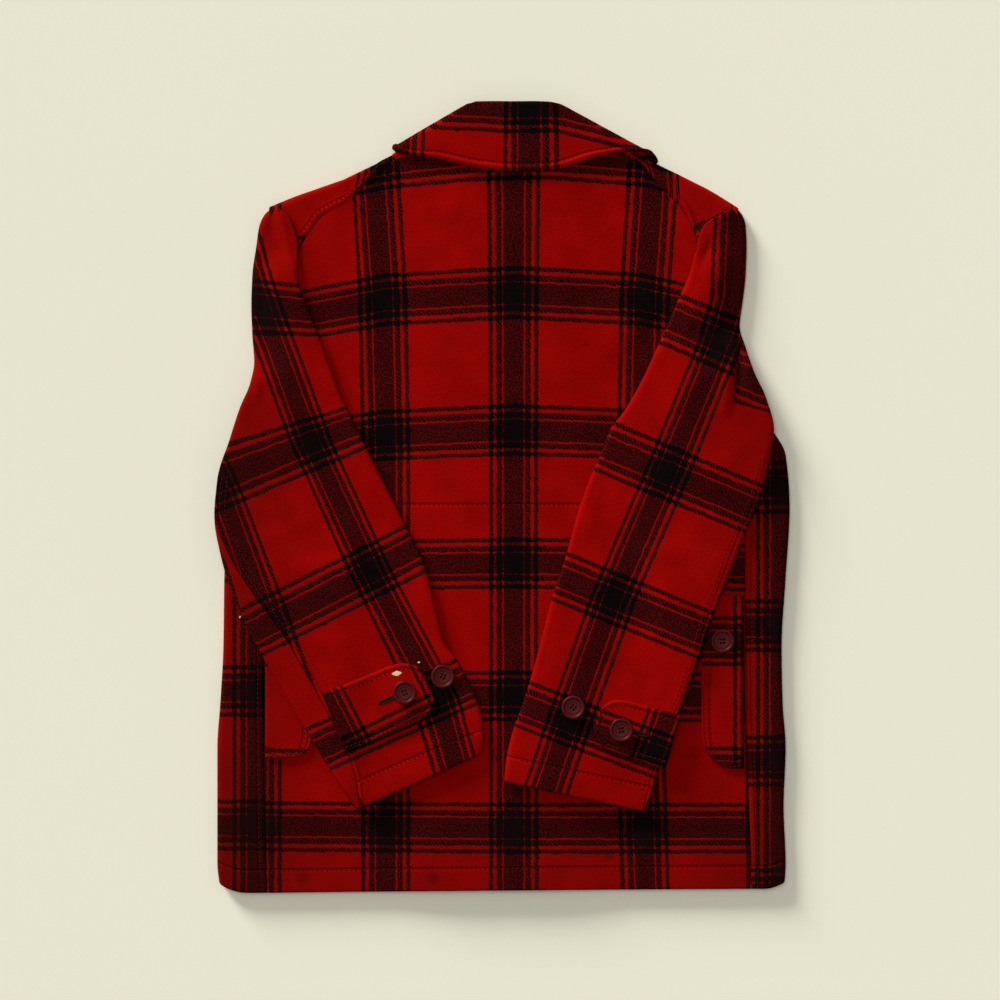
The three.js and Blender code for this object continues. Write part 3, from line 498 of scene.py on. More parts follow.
def sleeve_level(table, x, y):
    """Level of the middle of the sleeve's top layer at (x, y)."""
    def beyond(t):
        station = station_at(table, t)
        outer, inner = station["outer"], station["inner"]
        return (inner[0] - outer[0]) * (y - outer[1]) - (inner[1] - outer[1]) * (x - outer[0])

    low, high = ARMPIT_STATION, len(table) - 1
    sign = beyond(high) > 0
    for _ in range(30):
        middle = (low + high) / 2
        if (beyond(middle) > 0) == sign:
            high = middle
        else:
            low = middle
    station = station_at(table, low)
    return ring(station)["top_level"](math.hypot(x - station["outer"][0], y - station["outer"][1]))


# Collar, pocket ends and cuff tabs

COLLAR_LEAF_COLUMN = 6


def collar_grid():
    radius = COLLAR_FOLD_RADIUS
    rows = []
    for row in COLLAR:
        roll, leaf, neck = row["roll"], row["leaf"], row["neck"]
        side = math.copysign(1, leaf[0])
        swing = math.radians(row["turn"])

        def lift(at, depth, share):
            top = body_level(*at)
            bottom = FRONT_LEVEL + CLOSURE_LIFT
            out = (top - bottom) / 2 + depth
            push = out * math.sin(swing) * mix(COLLAR_ROLL_PUSH, 1, share)
            return (at[0] + side * COLLAR_OUT["across"] * push, at[1] + COLLAR_OUT["up"] * push,
                    (top + bottom) / 2 + out * math.cos(swing))

        stand = [lift(mix_points(neck, roll, t), 0, 1 - t) for t in (0, 0.5, 1)]
        reach = math.hypot(roll[0] - leaf[0], roll[1] - leaf[1])
        ahead = [(roll[0] - leaf[0]) / reach, (roll[1] - leaf[1]) / reach]
        turned = []
        for t in (0.25, 0.5, 0.75):
            beyond = radius * math.sin(t * math.pi)
            turned.append(lift([roll[0] + ahead[0] * beyond, roll[1] + ahead[1] * beyond],
                               radius * (1 - math.cos(t * math.pi)), 0))
        fall = [lift(mix_points(roll, leaf, t), 2 * radius, t) for t in (0, 0.2, 0.4, 0.6, 0.8, 1)]
        rows.append([*stand, *turned, *fall])
    return rows


def pocket_grid(key):
    side = -1 if key == "left" else 1
    rows = []
    for row in POCKETS[key]:
        xs = [side * mix(row["edge"], POCKET_SEAM[key], t) for t in (0, 0.2, 0.4, 0.6, 0.8, 1)]
        rows.append([(x, row["y"], body_level(x, row["y"]) + LAYER) for x in xs])
    return rows


def tab_grid(table, tab):
    root, tip, width, rounding = tab["root"], tab["tip"], tab["width"], tab["round"]
    length = math.hypot(tip[0] - root[0], tip[1] - root[1])
    along = [(tip[0] - root[0]) / length, (tip[1] - root[1]) / length]
    places = [t * (length - rounding) for t in (0, 0.25, 0.5, 0.75)]
    places += [length - rounding + rounding * math.sin(math.radians(angle)) for angle in (0, 25, 48, 68, 84)]
    rows = []
    for place in places:
        past = clamp((place - length + rounding) / rounding, 0, 1)
        half = (width / 2) * (TAB_TIP + (1 - TAB_TIP) * math.sqrt(1 - past ** 2))
        row = []
        for t in (-1, -0.6, -0.2, 0.2, 0.6, 1):
            x = root[0] + along[0] * place - along[1] * half * t
            y = root[1] + along[1] * place + along[0] * half * t
            row.append((x, y, sleeve_level(table, x, y) + CLOTH + TAB_AIR))
        rows.append(row)
    return rows


# Plaid: centre lines of its bands on each piece, as the photograph shows them, by the repeat that
# each one is. ups run along the piece as (y, x) points, and crosses run over it as (x, y) points.

def straight(places):
    """Bands that keep one place each."""
    return {number: [(0, place), (1, place)] for number, place in places.items()}


def beside(line, distance):
    """A band that follows another one at a distance."""
    return [(at, place + distance) for at, place in line]


LEFT_SLEEVE_BAND = [
    (300, -272), (232, -254), (192.5, -241), (55.5, -191), (-73.5, -131), (-199.5, -64), (-262.5, -47),
]
COLLAR_BAND = [
    (-120, 392), (-65, 393), (-22, 391.5), (5, 389.5), (50, 390.5), (62, 388.5), (123, 373.5), (160, 364),
]
LEFT_TAB_BANDS = ([(-192.5, -180), (-250.5, -150)], [(-186, -280.5), (-64, -219.5)])
PLAID = {
    "back": {
        "ups": {
            **straight({-2: -245, 0: 11.5}),
            -1: [(-352, -116), (47, -116), (207, -120), (300, -127)],
            1: [(-392, 144), (-260, 139), (47, 139), (207, 143), (300, 150)],
            2: [(-400, 268), (100, 268), (300, 282)],
        },
        "crosses": {
            -3: [(-200, -464), (200, -464)],
            -2: [(-245, -328), (11, -330.5), (245, -330.5)],
            -1: [(-245, -200), (11, -198.5), (245, -200)],
            0: [(-240, -69), (-117, -67), (11, -65.5), (138, -67), (240, -69)],
            1: [(-240, 48), (-117, 61.5), (11, 67.5), (138, 62.5), (240, 50)],
            2: [(-240, 173), (-197, 182.5), (-117, 197.5), (11, 204.5), (138, 198), (188, 187), (240, 173)],
            3: [(-160, 326), (-111, 335), (-32, 343), (46, 345), (138, 338), (170, 331)],
        },
    },
    "front_left": {
        "ups": straight({-1: -373, 0: -245, 1: -116}),
        "crosses": straight({-1: -461, 0: -327.5, 1: -193.5, 2: -59.5, 3: 74.5, 4: 208, 5: 352}),
    },
    "front_right": {
        "ups": straight({-1: 150, 0: 278.5, 1: 407}),
        "crosses": straight({-1: -396, 0: -263.5, 1: -128.5, 2: 10.5, 3: 145, 4: 352}),
    },
    "sleeve_left": {
        "ups": {
            -1: [(300, -386), (232, -368), (192.5, -355), (55.5, -303), (9.5, -282), (-95.5, -244),
                 (-195.5, -212), (-252.5, -187)],
            0: LEFT_SLEEVE_BAND,
            1: beside(LEFT_SLEEVE_BAND, 114),
        },
        "crosses": {
            3: [(-240, 322), (-191, 322)],
            2: [(-240, 192.5), (-191, 186)],
            1: [(-280, 19), (-191, 55.5), (-137, 77)],
            0: [(-242, -132), (-131, -73.5), (-62, -37)],
            -1: [(-186, -254), (-64, -199.5)],
            -2: [(-186, -386), (-64, -331)],
        },
    },
    "sleeve_right": {
        "ups": {
            -1: [(300, 115), (155.5, 98), (24.5, 44), (-100.5, -10), (-224.5, -54), (-292.5, -77)],
            0: [(280, 235), (200, 232), (155.5, 218), (24.5, 164), (-100.5, 110), (-224.5, 66), (-292.5, 43)],
            1: [(300, 355), (155.5, 338), (24.5, 294), (-100.5, 240), (-224.5, 196), (-292.5, 173)],
        },
        "crosses": {
            3: [(164, 334), (218, 322)],
            2: [(164, 180), (218, 155.5), (240, 146)],
            1: [(90, 55.5), (164, 24.5), (243, -8.5)],
            0: [(50, -76), (110, -100.5), (200, -137)],
            -1: [(20, -207), (66, -224.5), (160, -259)],
            -2: [(20, -337), (160, -389)],
        },
    },
    "collar": {
        "ups": {
            -1: [(300, -103), (347, -102), (400, -98)],
            **straight({0: 26}),
            1: [(300, 190), (347, 188), (400, 180)],
        },
        "crosses": {0: COLLAR_BAND, -1: beside(COLLAR_BAND, -134)},
    },
    "pocket_left": {"ups": straight({0: -160, 1: -31}), "crosses": straight({0: -276.5, 1: -143.5})},
    "pocket_right": {"ups": straight({0: 127, 1: 255.5}), "crosses": straight({0: -274, 1: -143.5})},
    "tab_left": {
        "ups": {0: LEFT_TAB_BANDS[0], 1: beside(LEFT_TAB_BANDS[0], 124)},
        "crosses": {0: LEFT_TAB_BANDS[1], 1: beside(LEFT_TAB_BANDS[1], 149.5)},
    },
    "tab_right": {
        "ups": {-1: [(-214.5, 45), (-258.5, 29)], 0: [(-214.5, 167), (-258.5, 151)]},
        "crosses": {0: [(66, -224.5), (160, -259)], 1: [(66, -90), (160, -125)]},
    },
}
REPEAT = 128.5


def line_value(knots, at):
    """Height of a bent line at the given places, carried on straight past its ends."""
    xs = np.array([k[0] for k in knots], float)
    ys = np.array([k[1] for k in knots], float)
    if xs[0] > xs[-1]:
        xs, ys = xs[::-1], ys[::-1]
    value = np.interp(at, xs, ys)
    first = (ys[1] - ys[0]) / (xs[1] - xs[0])
    last = (ys[-1] - ys[-2]) / (xs[-1] - xs[-2])
    value = np.where(at < xs[0], ys[0] + first * (at - xs[0]), value)
    return np.where(at > xs[-1], ys[-1] + last * (at - xs[-1]), value)


def between(lines, along, across):
    """Place in repeats between the plaid's centre lines."""
    numbers = sorted(lines)
    centres = [line_value(lines[number], along) for number in numbers]
    place = numbers[0] + (across - centres[0]) / (centres[1] - centres[0])
    for k in range(1, len(numbers) - 1):
        beyond = numbers[k] + (across - centres[k]) / (centres[k + 1] - centres[k])
        place = np.where(across > centres[k], beyond, place)
    return place


def plaid_places(plaid, points, first, last):
    """Plaid coordinates of a grid of points, in repeats. Columns first to last lie on top and are
    read from the table. The others carry on from them round the fold by their distance."""
    x, y = points[..., 0], points[..., 1]
    u = between(plaid["ups"], y, x)
    v = between(plaid["crosses"], x, y)
    steps = np.linalg.norm(points[:, 1:] - points[:, :-1], axis=2) / REPEAT
    turn = np.sign(u[:, last] - u[:, first])
    for j in range(last + 1, points.shape[1]):
        u[:, j] = u[:, j - 1] + turn * steps[:, j - 1]
        v[:, j] = v[:, last]
    for j in range(first - 1, -1, -1):
        u[:, j] = u[:, j + 1] - turn * steps[:, j]
        v[:, j] = v[:, first]
    return np.stack([u, v], axis=-1)


# Fine cloth made from a coarse grid

RIM_STEPS = [0.12, 0.45, 1.0, 1.9]
RIM = 1.9
VISUAL_HALF = 1.4
FLOOR_GAP = 0.05


def finer(points, step):
    """More points between the rows of a grid, on smooth curves through those rows. Also gives
    the new number of each old row."""
    lengths = np.maximum(np.linalg.norm(points[1:] - points[:-1], axis=2), 1e-4)
    slopes = (points[1:] - points[:-1]) / lengths[..., None]
    before, after = lengths[:-1, :, None], lengths[1:, :, None]
    same_way = slopes[:-1] * slopes[1:] > 1e-12
    first = np.where(same_way, slopes[:-1], 1.0)
    second = np.where(same_way, slopes[1:], 1.0)
    joint = 3 * (before + after) / ((2 * after + before) / first + (after + 2 * before) / second)
    tangents = np.concatenate([slopes[:1], np.where(same_way, joint, 0.0), slopes[-1:]])
    rows, numbers = [], []
    for i in range(len(lengths)):
        longest = lengths[i].max()
        count = max(1, math.ceil(longest / step))
        places = {k / count for k in range(count)}
        rims = [r / longest for r in RIM_STEPS if r < longest * 0.9]
        if i == 0:
            places |= set(rims)
        if i == len(lengths) - 1:
            places |= {1 - r for r in rims}
        numbers.append(len(rows))
        h = lengths[i][:, None]
        for t in sorted(places):
            t2, t3 = t * t, t * t * t
            rows.append(points[i] * (2 * t3 - 3 * t2 + 1) + points[i + 1] * (3 * t2 - 2 * t3)
                        + h * (tangents[i] * (t3 - 2 * t2 + t) + tangents[i + 1] * (t3 - t2)))
    numbers.append(len(rows))
    rows.append(points[-1])
    return np.array(rows), numbers


def fine_grid(coarse, step):
    points, rows = finer(np.array(coarse, float), step)
    turned, columns = finer(points.transpose(1, 0, 2), step)
    return turned.transpose(1, 0, 2), rows, columns


def border_distances(points):
    """Distance along the cloth to its first and last row and first and last column."""
    down = np.linalg.norm(points[1:] - points[:-1], axis=2)
    over = np.linalg.norm(points[:, 1:] - points[:, :-1], axis=2)
    from_first = np.concatenate([np.zeros((1, points.shape[1])), np.cumsum(down, axis=0)])
    from_left = np.concatenate([np.zeros((points.shape[0], 1)), np.cumsum(over, axis=1)], axis=1)
    return from_first, from_first[-1:] - from_first, from_left, from_left[:, -1:] - from_left


def outward(points, look):
    """Unit normals of a grid, on the side that faces up at the grid place look."""
    out = np.cross(np.gradient(points, axis=0), np.gradient(points, axis=1))
    out /= np.maximum(np.linalg.norm(out, axis=2, keepdims=True), 1e-9)
    side = 1 if out[look][2] > 0 else -1
    return out * side, side


def to_world(points):
    moved = np.array(points, float).reshape(-1, 3)
    return (moved - np.array([OUTLINE_MIDDLE["x"], OUTLINE_MIDDLE["y"], 0])) * MM


def new_object(name, data):
    made = bpy.data.objects.new(name, data)
    bpy.context.scene.collection.objects.link(made)
    return made


def new_mesh(name, points, faces, material=None):
    mesh = bpy.data.meshes.new(name)
    mesh.from_pydata(points, [], faces)
    if material:
        mesh.materials.append(material)
    return mesh


def make_mesh(name, points, faces, material, uvs=None, fields=None):
    """A piece of the part, from points in millimetres, with its values at each point."""
    mesh = new_mesh(name, to_world(points).tolist(), faces, material)
    mesh.shade_smooth()
    if uvs is not None:
        layer = mesh.uv_layers.new(name="plaid")
        corners = np.empty(len(mesh.loops), dtype=np.int32)
        mesh.loops.foreach_get("vertex_index", corners)
        layer.data.foreach_set("uv", np.asarray(uvs, dtype=np.float32).reshape(-1, 2)[corners].ravel())
    for field, values in (fields or {}).items():
        kind, key = ("FLOAT_VECTOR", "vector") if values.shape[-1] == 3 else ("FLOAT", "value")
        data = mesh.attributes.new(field, kind, "POINT").data
        data.foreach_set(key, values.astype(np.float32).ravel())
    piece = new_object(name, mesh)
    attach(piece, "root")
    return piece


# Painted shade, darker toward the hem and the two sides where the light falls off: axis and side, where it
# starts, over how far, and how much darker
PAINTED_SHADE = [(1, -1, 250, 110, 0.4), (0, -1, 175, 90, 0.62), (0, 1, 175, 90, 0.42)]


def painted_shade(points):
    """Painted shade: how much darker the cloth is made toward the hem and the two sides, where the light
    falls off.
    """
    return sum(most * np.clip((side * points[..., axis] - start) / over, 0, 1)
               for axis, side, start, over, most in PAINTED_SHADE)


def cloth(name, node, points, uvs, look=None, raised=None, stitched=(), dirt_and_shade=None):
    """A closed sheet of cloth with rounded edges over the solid of a node, and the normals of its
    outer face. look is a place on that face that looks up, raised the height added to it, stitched
    up to three fields of distance to a row of stitches, and dirt how much darker real marks make
    each place. Painted shade toward the hem and the two sides is added to it."""
    rows, columns = points.shape[:2]
    look = look or (rows // 2, columns // 2)
    out, side = outward(points, look)
    distance = np.minimum.reduce(border_distances(points))
    inside = np.clip(distance / RIM, 0, 1)
    thick = VISUAL_HALF * np.sqrt(np.clip(1 - (1 - inside) ** 2, 0, 1))
    extra = 0 if raised is None else raised * inside
    top = points + out * (thick + extra)[..., None]
    bottom = points - out * thick[..., None]
    number = np.arange(rows * columns).reshape(rows, columns)
    under = number.copy()
    inner = (rows - 2) * (columns - 2)
    under[1:-1, 1:-1] = rows * columns + np.arange(inner).reshape(rows - 2, columns - 2)

    def both(upper, lower=None):
        lower = upper if lower is None else lower
        return np.concatenate([upper.reshape(rows * columns, -1), lower[1:-1, 1:-1].reshape(inner, -1)])

    places = both(top, bottom)
    places[:, 2] = np.maximum(places[:, 2], FLOOR_GAP)
    quads = []
    for grid, flip in ((number, side < 0), (under, side > 0)):
        a, b, c, d = grid[:-1, :-1], grid[1:, :-1], grid[1:, 1:], grid[:-1, 1:]
        order = (a, d, c, b) if flip else (a, b, c, d)
        quads.append(np.stack([q.ravel() for q in order], axis=1))
    far = np.full((rows, columns), NO_STITCHES)
    fields = list(stitched) + [far] * (3 - len(stitched))
    # The darkening field holds the real marks plus painted shade toward the hem and the sides
    marks = {"stitch_lines": both(np.stack(fields, axis=-1)),
             "dirt_and_shade": both(np.clip(painted_shade(points) + (0 if dirt_and_shade is None else dirt_and_shade), 0, 1))}
    piece = make_mesh(name, places, np.concatenate(quads).tolist(), wool, both(uvs), fields=marks)
    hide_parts(node)
    return piece, out


def line_at(points, out, border, distance):
    """Points of the outer face at a distance along the cloth from one border."""
    field = border_distances(points)[border]
    face = points + out * VISUAL_HALF
    if border in (0, 1):
        face, field = face.transpose(1, 0, 2), field.T
    line = []
    for row, far in zip(face, field):
        if far.max() < distance:
            continue
        order = np.argsort(far)
        line.append([np.interp(distance, far[order], row[order, k]) for k in range(3)])
    return np.array(line)


LUMP_SIZE = 38


def relief(points, rows, lumps, seed):
    """Height of the creases in rows, and of small lumps all over."""
    x, y = points[..., 0], points[..., 1]
    total = np.zeros(x.shape)
    for ax, ay, bx, by, width, height in rows:
        dx, dy = bx - ax, by - ay
        t = np.clip(((x - ax) * dx + (y - ay) * dy) / (dx * dx + dy * dy), 0, 1)
        distance = np.hypot(x - ax - dx * t, y - ay - dy * t)
        taper = np.sin(np.pi * np.clip(0.12 + 0.76 * t, 0, 1))
        total += height * taper * np.exp(-((distance / width) ** 2))
    grain = [noise.noise((px, py, seed)) for px, py in zip(x.ravel() / LUMP_SIZE, y.ravel() / LUMP_SIZE)]
    return total + lumps * np.array(grain).reshape(x.shape)


# Materials

class Nodes:
    """Short names for adding and joining a material's nodes."""

    def __init__(self, name):
        self.material = bpy.data.materials.new(name)
        self.material.use_nodes = True
        self.tree = self.material.node_tree
        self.shader = self.tree.nodes["Principled BSDF"]

    def link(self, source, target):
        self.tree.links.new(source, target)

    def add(self, kind, inputs=(), **settings):
        node = self.tree.nodes.new(kind)
        for key, value in settings.items():
            setattr(node, key, value)
        for key, value in inputs:
            if isinstance(value, bpy.types.NodeSocket):
                self.link(value, node.inputs[key])
            else:
                node.inputs[key].default_value = value
        return node

    def math(self, operation, a, b=0.0, clamped=False):
        node = self.add("ShaderNodeMath", ((0, a), (1, b)), operation=operation)
        node.use_clamp = clamped
        return node.outputs[0]

    def vector(self, operation, a, b):
        return self.add("ShaderNodeVectorMath", ((0, a), (1, b)), operation=operation).outputs[0]

    def noise(self, vector, scale, detail=2.0, roughness=0.5, output="Fac"):
        inputs = (("Vector", vector), ("Scale", scale), ("Detail", detail), ("Roughness", roughness))
        return self.add("ShaderNodeTexNoise", inputs).outputs[output]

    def ramp(self, value, low, high, to_low=0.0, to_high=1.0):
        inputs = (("Value", value), ("From Min", low), ("From Max", high),
                  ("To Min", to_low), ("To Max", to_high))
        return self.add("ShaderNodeMapRange", inputs, interpolation_type="SMOOTHSTEP").outputs["Result"]

    def colour_mix(self, factor, a, b):
        return self.add("ShaderNodeMix", ((0, factor), (6, a), (7, b)), data_type="RGBA").outputs[2]

    def bump(self, height, distance, strength, normal=None):
        inputs = [("Height", height), ("Distance", distance), ("Strength", strength)]
        if normal is not None:
            inputs.append(("Normal", normal))
        return self.add("ShaderNodeBump", inputs).outputs["Normal"]

    def finish(self, colour, roughness, specular, normal=None):
        """Joins colour and normal to the shader and sets what is the same all over."""
        inputs = self.shader.inputs
        self.link(colour, inputs["Base Color"])
        inputs["Roughness"].default_value = roughness
        inputs["Specular IOR Level"].default_value = specular
        if normal is not None:
            self.link(normal, inputs["Normal"])
        return self.material


# Millimetres from a band's middle at which its black begins (1) and ends (0)
BLOCK_EDGES = [(9.9, 0)]
LINE_EDGES = [(11.3, 1), (17.1, 0), (20.5, 1), (24.7, 0)]
BAND_SOFT = 0.35
THREAD = 0.92
# How far the bands' edges wander, in repeats
WANDER = 0.021
RED = (0.275, 0.0011, 0.0003, 1)
DEEP_RED = (0.225, 0.0009, 0.0003, 1)
BLACK = (0.0012, 0.0016, 0.0014, 1)
# Dark red toward which real marks, painted shade and the nap darken the wool
SOILED_AND_SHADED = (0.012, 0.002, 0.0015, 1)
FLOOR_COLOUR = (0.80, 0.785, 0.65, 1)
SHEEN = {"Sheen Weight": 0.03, "Sheen Roughness": 0.6, "Sheen Tint": (0.5, 0.03, 0.02, 1)}


def band(n, place, edges):
    """1 where the plaid's threads in one direction are black, between the given edges."""
    centred = n.math("ABSOLUTE", n.math("SUBTRACT", n.math("FRACT", n.math("ADD", place, 0.5)), 0.5))
    node = n.add("ShaderNodeValToRGB", (("Fac", n.math("MULTIPLY", centred, 2.0)),))
    ramp = node.color_ramp
    ramp.elements[0].position = 0
    value = 1 if edges[0][1] == 0 else 0
    ramp.elements[0].color = (value, value, value, 1)
    ramp.elements[1].position = 1
    ramp.elements[1].color = (0, 0, 0, 1)
    for edge, after in edges:
        for offset, level in ((-BAND_SOFT, value), (BAND_SOFT, after)):
            element = ramp.elements.new((edge + offset) / (REPEAT / 2))
            element.color = (level, level, level, 1)
        value = after
    return node.outputs["Color"]


def wool_material():
    n = Nodes("plaid_wool")
    where = n.add("ShaderNodeUVMap", uv_map="plaid").outputs["UV"]
    in_mm = n.vector("MULTIPLY", where, (REPEAT, REPEAT, 0))
    shift = n.vector("SUBTRACT", n.noise(in_mm, 0.16, output="Color"), (0.5, 0.5, 0.5))
    moved = n.add("ShaderNodeVectorMath", ((0, shift), ("Scale", WANDER)), operation="SCALE").outputs[0]
    parts = n.add("ShaderNodeSeparateXYZ", (("Vector", n.vector("ADD", where, moved)),))

    # Twill: slanted floats, broken up as fulled wool is
    sum_mm = n.math("MULTIPLY", n.math("ADD", parts.outputs["X"], parts.outputs["Y"]), REPEAT / (4 * THREAD))
    break_up = n.math("MULTIPLY", n.noise(in_mm, 0.2, 1.0), 1.4)
    slant = n.math("SINE", n.math("MULTIPLY", n.math("ADD", sum_mm, break_up), 2 * math.pi))
    grain = n.math("MULTIPLY", n.math("SUBTRACT", n.noise(in_mm, 0.62, 1.5), 0.5), 6.0)
    black = None
    for axis, lean in (("X", 1.0), ("Y", -1.0)):
        turned = n.math("MULTIPLY", slant, lean)
        speckle = n.ramp(n.math("ADD", grain, n.math("MULTIPLY", turned, 0.25)), -1.2, 0.9, 0.69, 1.0)
        dashes = n.ramp(n.math("ADD", turned, n.math("MULTIPLY", grain, 0.35)), -0.95, 0.1, 0.6, 1.0)
        threads = n.math("ADD", n.math("MULTIPLY", band(n, parts.outputs[axis], BLOCK_EDGES), speckle),
                         n.math("MULTIPLY", band(n, parts.outputs[axis], LINE_EDGES), dashes))
        black = threads if black is None else n.math("ADD", black, threads, True)

    nap = n.noise(in_mm, 0.9, 3.0, 0.6)
    mottle = n.noise(in_mm, 0.028, 3.0)
    red = n.colour_mix(n.ramp(mottle, 0.3, 0.72), DEEP_RED, RED)
    thin = n.math("SUBTRACT", black, n.math("MULTIPLY", n.ramp(nap, 0.56, 0.8), 0.06), True)
    plain = n.colour_mix(thin, red, BLACK)
    # Darkening from real marks and painted shade toward the hem and the sides, plus the nap's own darker
    # patches
    dirt_and_shade = n.add("ShaderNodeAttribute", attribute_name="dirt_and_shade").outputs["Fac"]
    dark = n.math("ADD", n.math("MULTIPLY", dirt_and_shade, 0.55), n.ramp(nap, 0.52, 0.28, 0.0, 0.22), True)
    colour = n.colour_mix(dark, plain, SOILED_AND_SHADED)
    for name, value in SHEEN.items():
        n.shader.inputs[name].default_value = value

    # Rows of stitches pull the cloth in
    lines = n.add("ShaderNodeSeparateXYZ", (
        ("Vector", n.add("ShaderNodeAttribute", attribute_name="stitch_lines").outputs["Vector"]),))
    pull = None
    for axis in "XYZ":
        near = n.ramp(n.math("ABSOLUTE", lines.outputs[axis]), 0.2, 2.4)
        pull = near if pull is None else n.math("MULTIPLY", pull, near)
    felt = n.noise(in_mm, 0.42, 4.0, 0.65)
    rough = n.math("ADD", n.math("MULTIPLY", slant, 0.04), n.math("ADD", felt, n.math("MULTIPLY", nap, 0.5)))
    return n.finish(colour, 0.95, 0.02, n.bump(pull, 0.0011, 0.9, n.bump(rough, 0.0009, 0.55)))


def button_material():
    n = Nodes("burgundy_button")
    where = n.add("ShaderNodeTexCoord").outputs["Object"]
    cloud = n.noise(where, 260, 3.0)
    colour = n.colour_mix(cloud, (0.04, 0.002, 0.0025, 1), (0.075, 0.004, 0.005, 1))
    return n.finish(colour, 0.42, 0.07, n.bump(n.noise(where, 1400, 2.0), 0.0001, 0.3))


def shade(colour, share):
    return tuple(c * share for c in colour[:3]) + (1,)


def thread_material(name, colour):
    n = Nodes(name)
    where = n.add("ShaderNodeTexCoord").outputs["Object"]
    twist = n.noise(where, 1800, 2.0)
    return n.finish(n.colour_mix(twist, shade(colour, 0.6), colour), 0.85, 0.1, n.bump(twist, 0.0002, 0.5))


def floor_material():
    n = Nodes("pale_floor")
    where = n.add("ShaderNodeTexCoord").outputs["Object"]
    grain = n.noise(where, 3.0, 4.0)
    return n.finish(n.colour_mix(grain, FLOOR_COLOUR, shade(FLOOR_COLOUR, 0.99)), 0.95, 0.05)


wool = wool_material()
burgundy = button_material()
seam_thread = thread_material("red_thread", (0.17, 0.0015, 0.0009, 1))
dark_thread = thread_material("dark_thread", (0.018, 0.003, 0.003, 1))
pale_thread = thread_material("pale_lint", (0.72, 0.62, 0.36, 1))
button_thread = thread_material("button_thread", (0.012, 0.002, 0.002, 1))

# Creases: from x, y to x, y, half width and height, a trough being negative
CREASES = {
    "back": [
        (-200, 235, -120, 175, 16, 0.9), (-186, 200, -90, 120, 12, -0.6), (190, 235, 120, 160, 16, 0.9),
        (172, 190, 90, 105, 12, -0.6), (-60, 330, -20, 240, 22, 0.6), (60, 330, 95, 250, 20, 0.6),
        (-150, 285, -60, 300, 14, -0.5), (150, 285, 70, 305, 14, -0.5), (-90, 20, 40, -10, 20, 0.5),
        (-120, -330, 20, -350, 20, 0.7), (90, -360, 200, -345, 18, 0.7), (-230, -290, -150, -380, 12, 0.6),
        (-10, -150, 10, -300, 16, -0.5), (120, 60, 60, -60, 16, 0.5), (-100, 120, -40, 10, 18, 0.6),
    ],
    "sleeve_left": [
        (-233, 281, -213, 227, 7, -2.0), (-219, 275, -204, 215, 6, 1.6), (-247, 126, -245, 97, 5, 1.3),
        (-238, 180, -205, 120, 9, 0.8), (-262, 60, -215, 30, 10, 1.0), (-270, 10, -225, -5, 9, -0.8),
        (-255, -50, -180, -20, 11, 0.9), (-215, -60, -150, -50, 9, -0.6), (-160, 60, -140, 20, 9, 0.8),
        (-120, -40, -100, -80, 8, 0.7), (-190, -150, -110, -130, 11, 0.6), (-210, 110, -180, 60, 9, 0.7),
        (-235, 235, -222, 195, 6, 0.8), (-80, -110, -60, -160, 8, 0.5), (-140, -260, -60, -245, 8, 0.5),
    ],
    "sleeve_right": [
        (209, 257, 198, 232, 6, -1.8), (222, 250, 214, 205, 7, 1.0), (234, 174, 222, 88, 5, 2.0),
        (245, 170, 231, 84, 5, -2.2), (210, 130, 170, 90, 9, 0.8), (250, 60, 215, 25, 10, 0.9),
        (235, 0, 180, -15, 10, -0.7), (200, -60, 140, -50, 10, 0.8), (140, 40, 110, 0, 8, 0.7),
        (95, 10, 85, -40, 7, 0.6), (190, -110, 130, -130, 9, -0.5), (120, -160, 70, -150, 10, 0.6),
        (150, -270, 60, -250, 9, 0.5), (190, 190, 178, 150, 7, 0.8), (60, -100, 50, -150, 7, 0.5),
    ],
    "front_left": [
        (-262, -120, -245, -200, 9, 0.7), (-272, -250, -246, -330, 8, 0.6), (-268, -60, -258, -120, 7, -0.5),
    ],
    "front_right": [
        (268, 20, 258, -70, 8, 0.8), (272, -150, 256, -240, 8, -0.6), (276, -290, 258, -370, 8, 0.7),
    ],
    "collar": [(-80, 358, -30, 345, 9, 0.5), (10, 375, 60, 362, 10, 0.5), (80, 360, 130, 350, 8, 0.5)],
}

# Faint marks near the hem: x, y and radius
MARKS = [(-199, -380.5, 5), (-69, -380.5, 5), (107, -358.5, 4), (84, 153.5, 2.2)]

# Longest step of each fine grid, the height of its small lumps and their seed
STEP = {"back": 3.1, "front": 4.0, "sleeve": 3.1, "under": 3.8, "collar": 3.1, "pocket": 2.6, "tab": 1.8}
LUMPS = {"back": 0.35, "front": 0.2, "sleeve": 0.5, "collar": 0.3, "pocket": 0.3, "tab": 0.25}
SEED = {
    "back": 1, "front_left": 3, "front_right": 5, "sleeve_left": 30, "sleeve_right": 31, "collar": 9,
    "pocket_left": 11, "pocket_right": 13, "tab_left": 20, "tab_right": 20,
}

# Distances of the rows of stitches from the edges that they follow
HEM_STITCH = 22.5
SHOULDER_STITCH = 7.5
SIDE_STITCH = 6.5
CUFF_STITCH = 25.0
SLEEVE_STITCHES = (5.0, 11.0)
COLLAR_STITCH = 7.5
POCKET_STITCHES = (3.5, 9.0)
TAB_STITCH = 5.5
WAIST_SEAM = -7.0
NO_STITCHES = 100.0
# How far each row lies above the plain cloth, and what it leaves out at rounded corners
SEW_LIFT = {"back": 0.1, "shoulder": 1.0, "side": 0.5, "sleeve": 0.35, "cuff": 0.25, "collar": 0.5,
            "pocket": 0.3, "tab": 0.25}
POCKET_CORNER = {"rows": 6, "columns": 5}
TAB_CORNER = 3

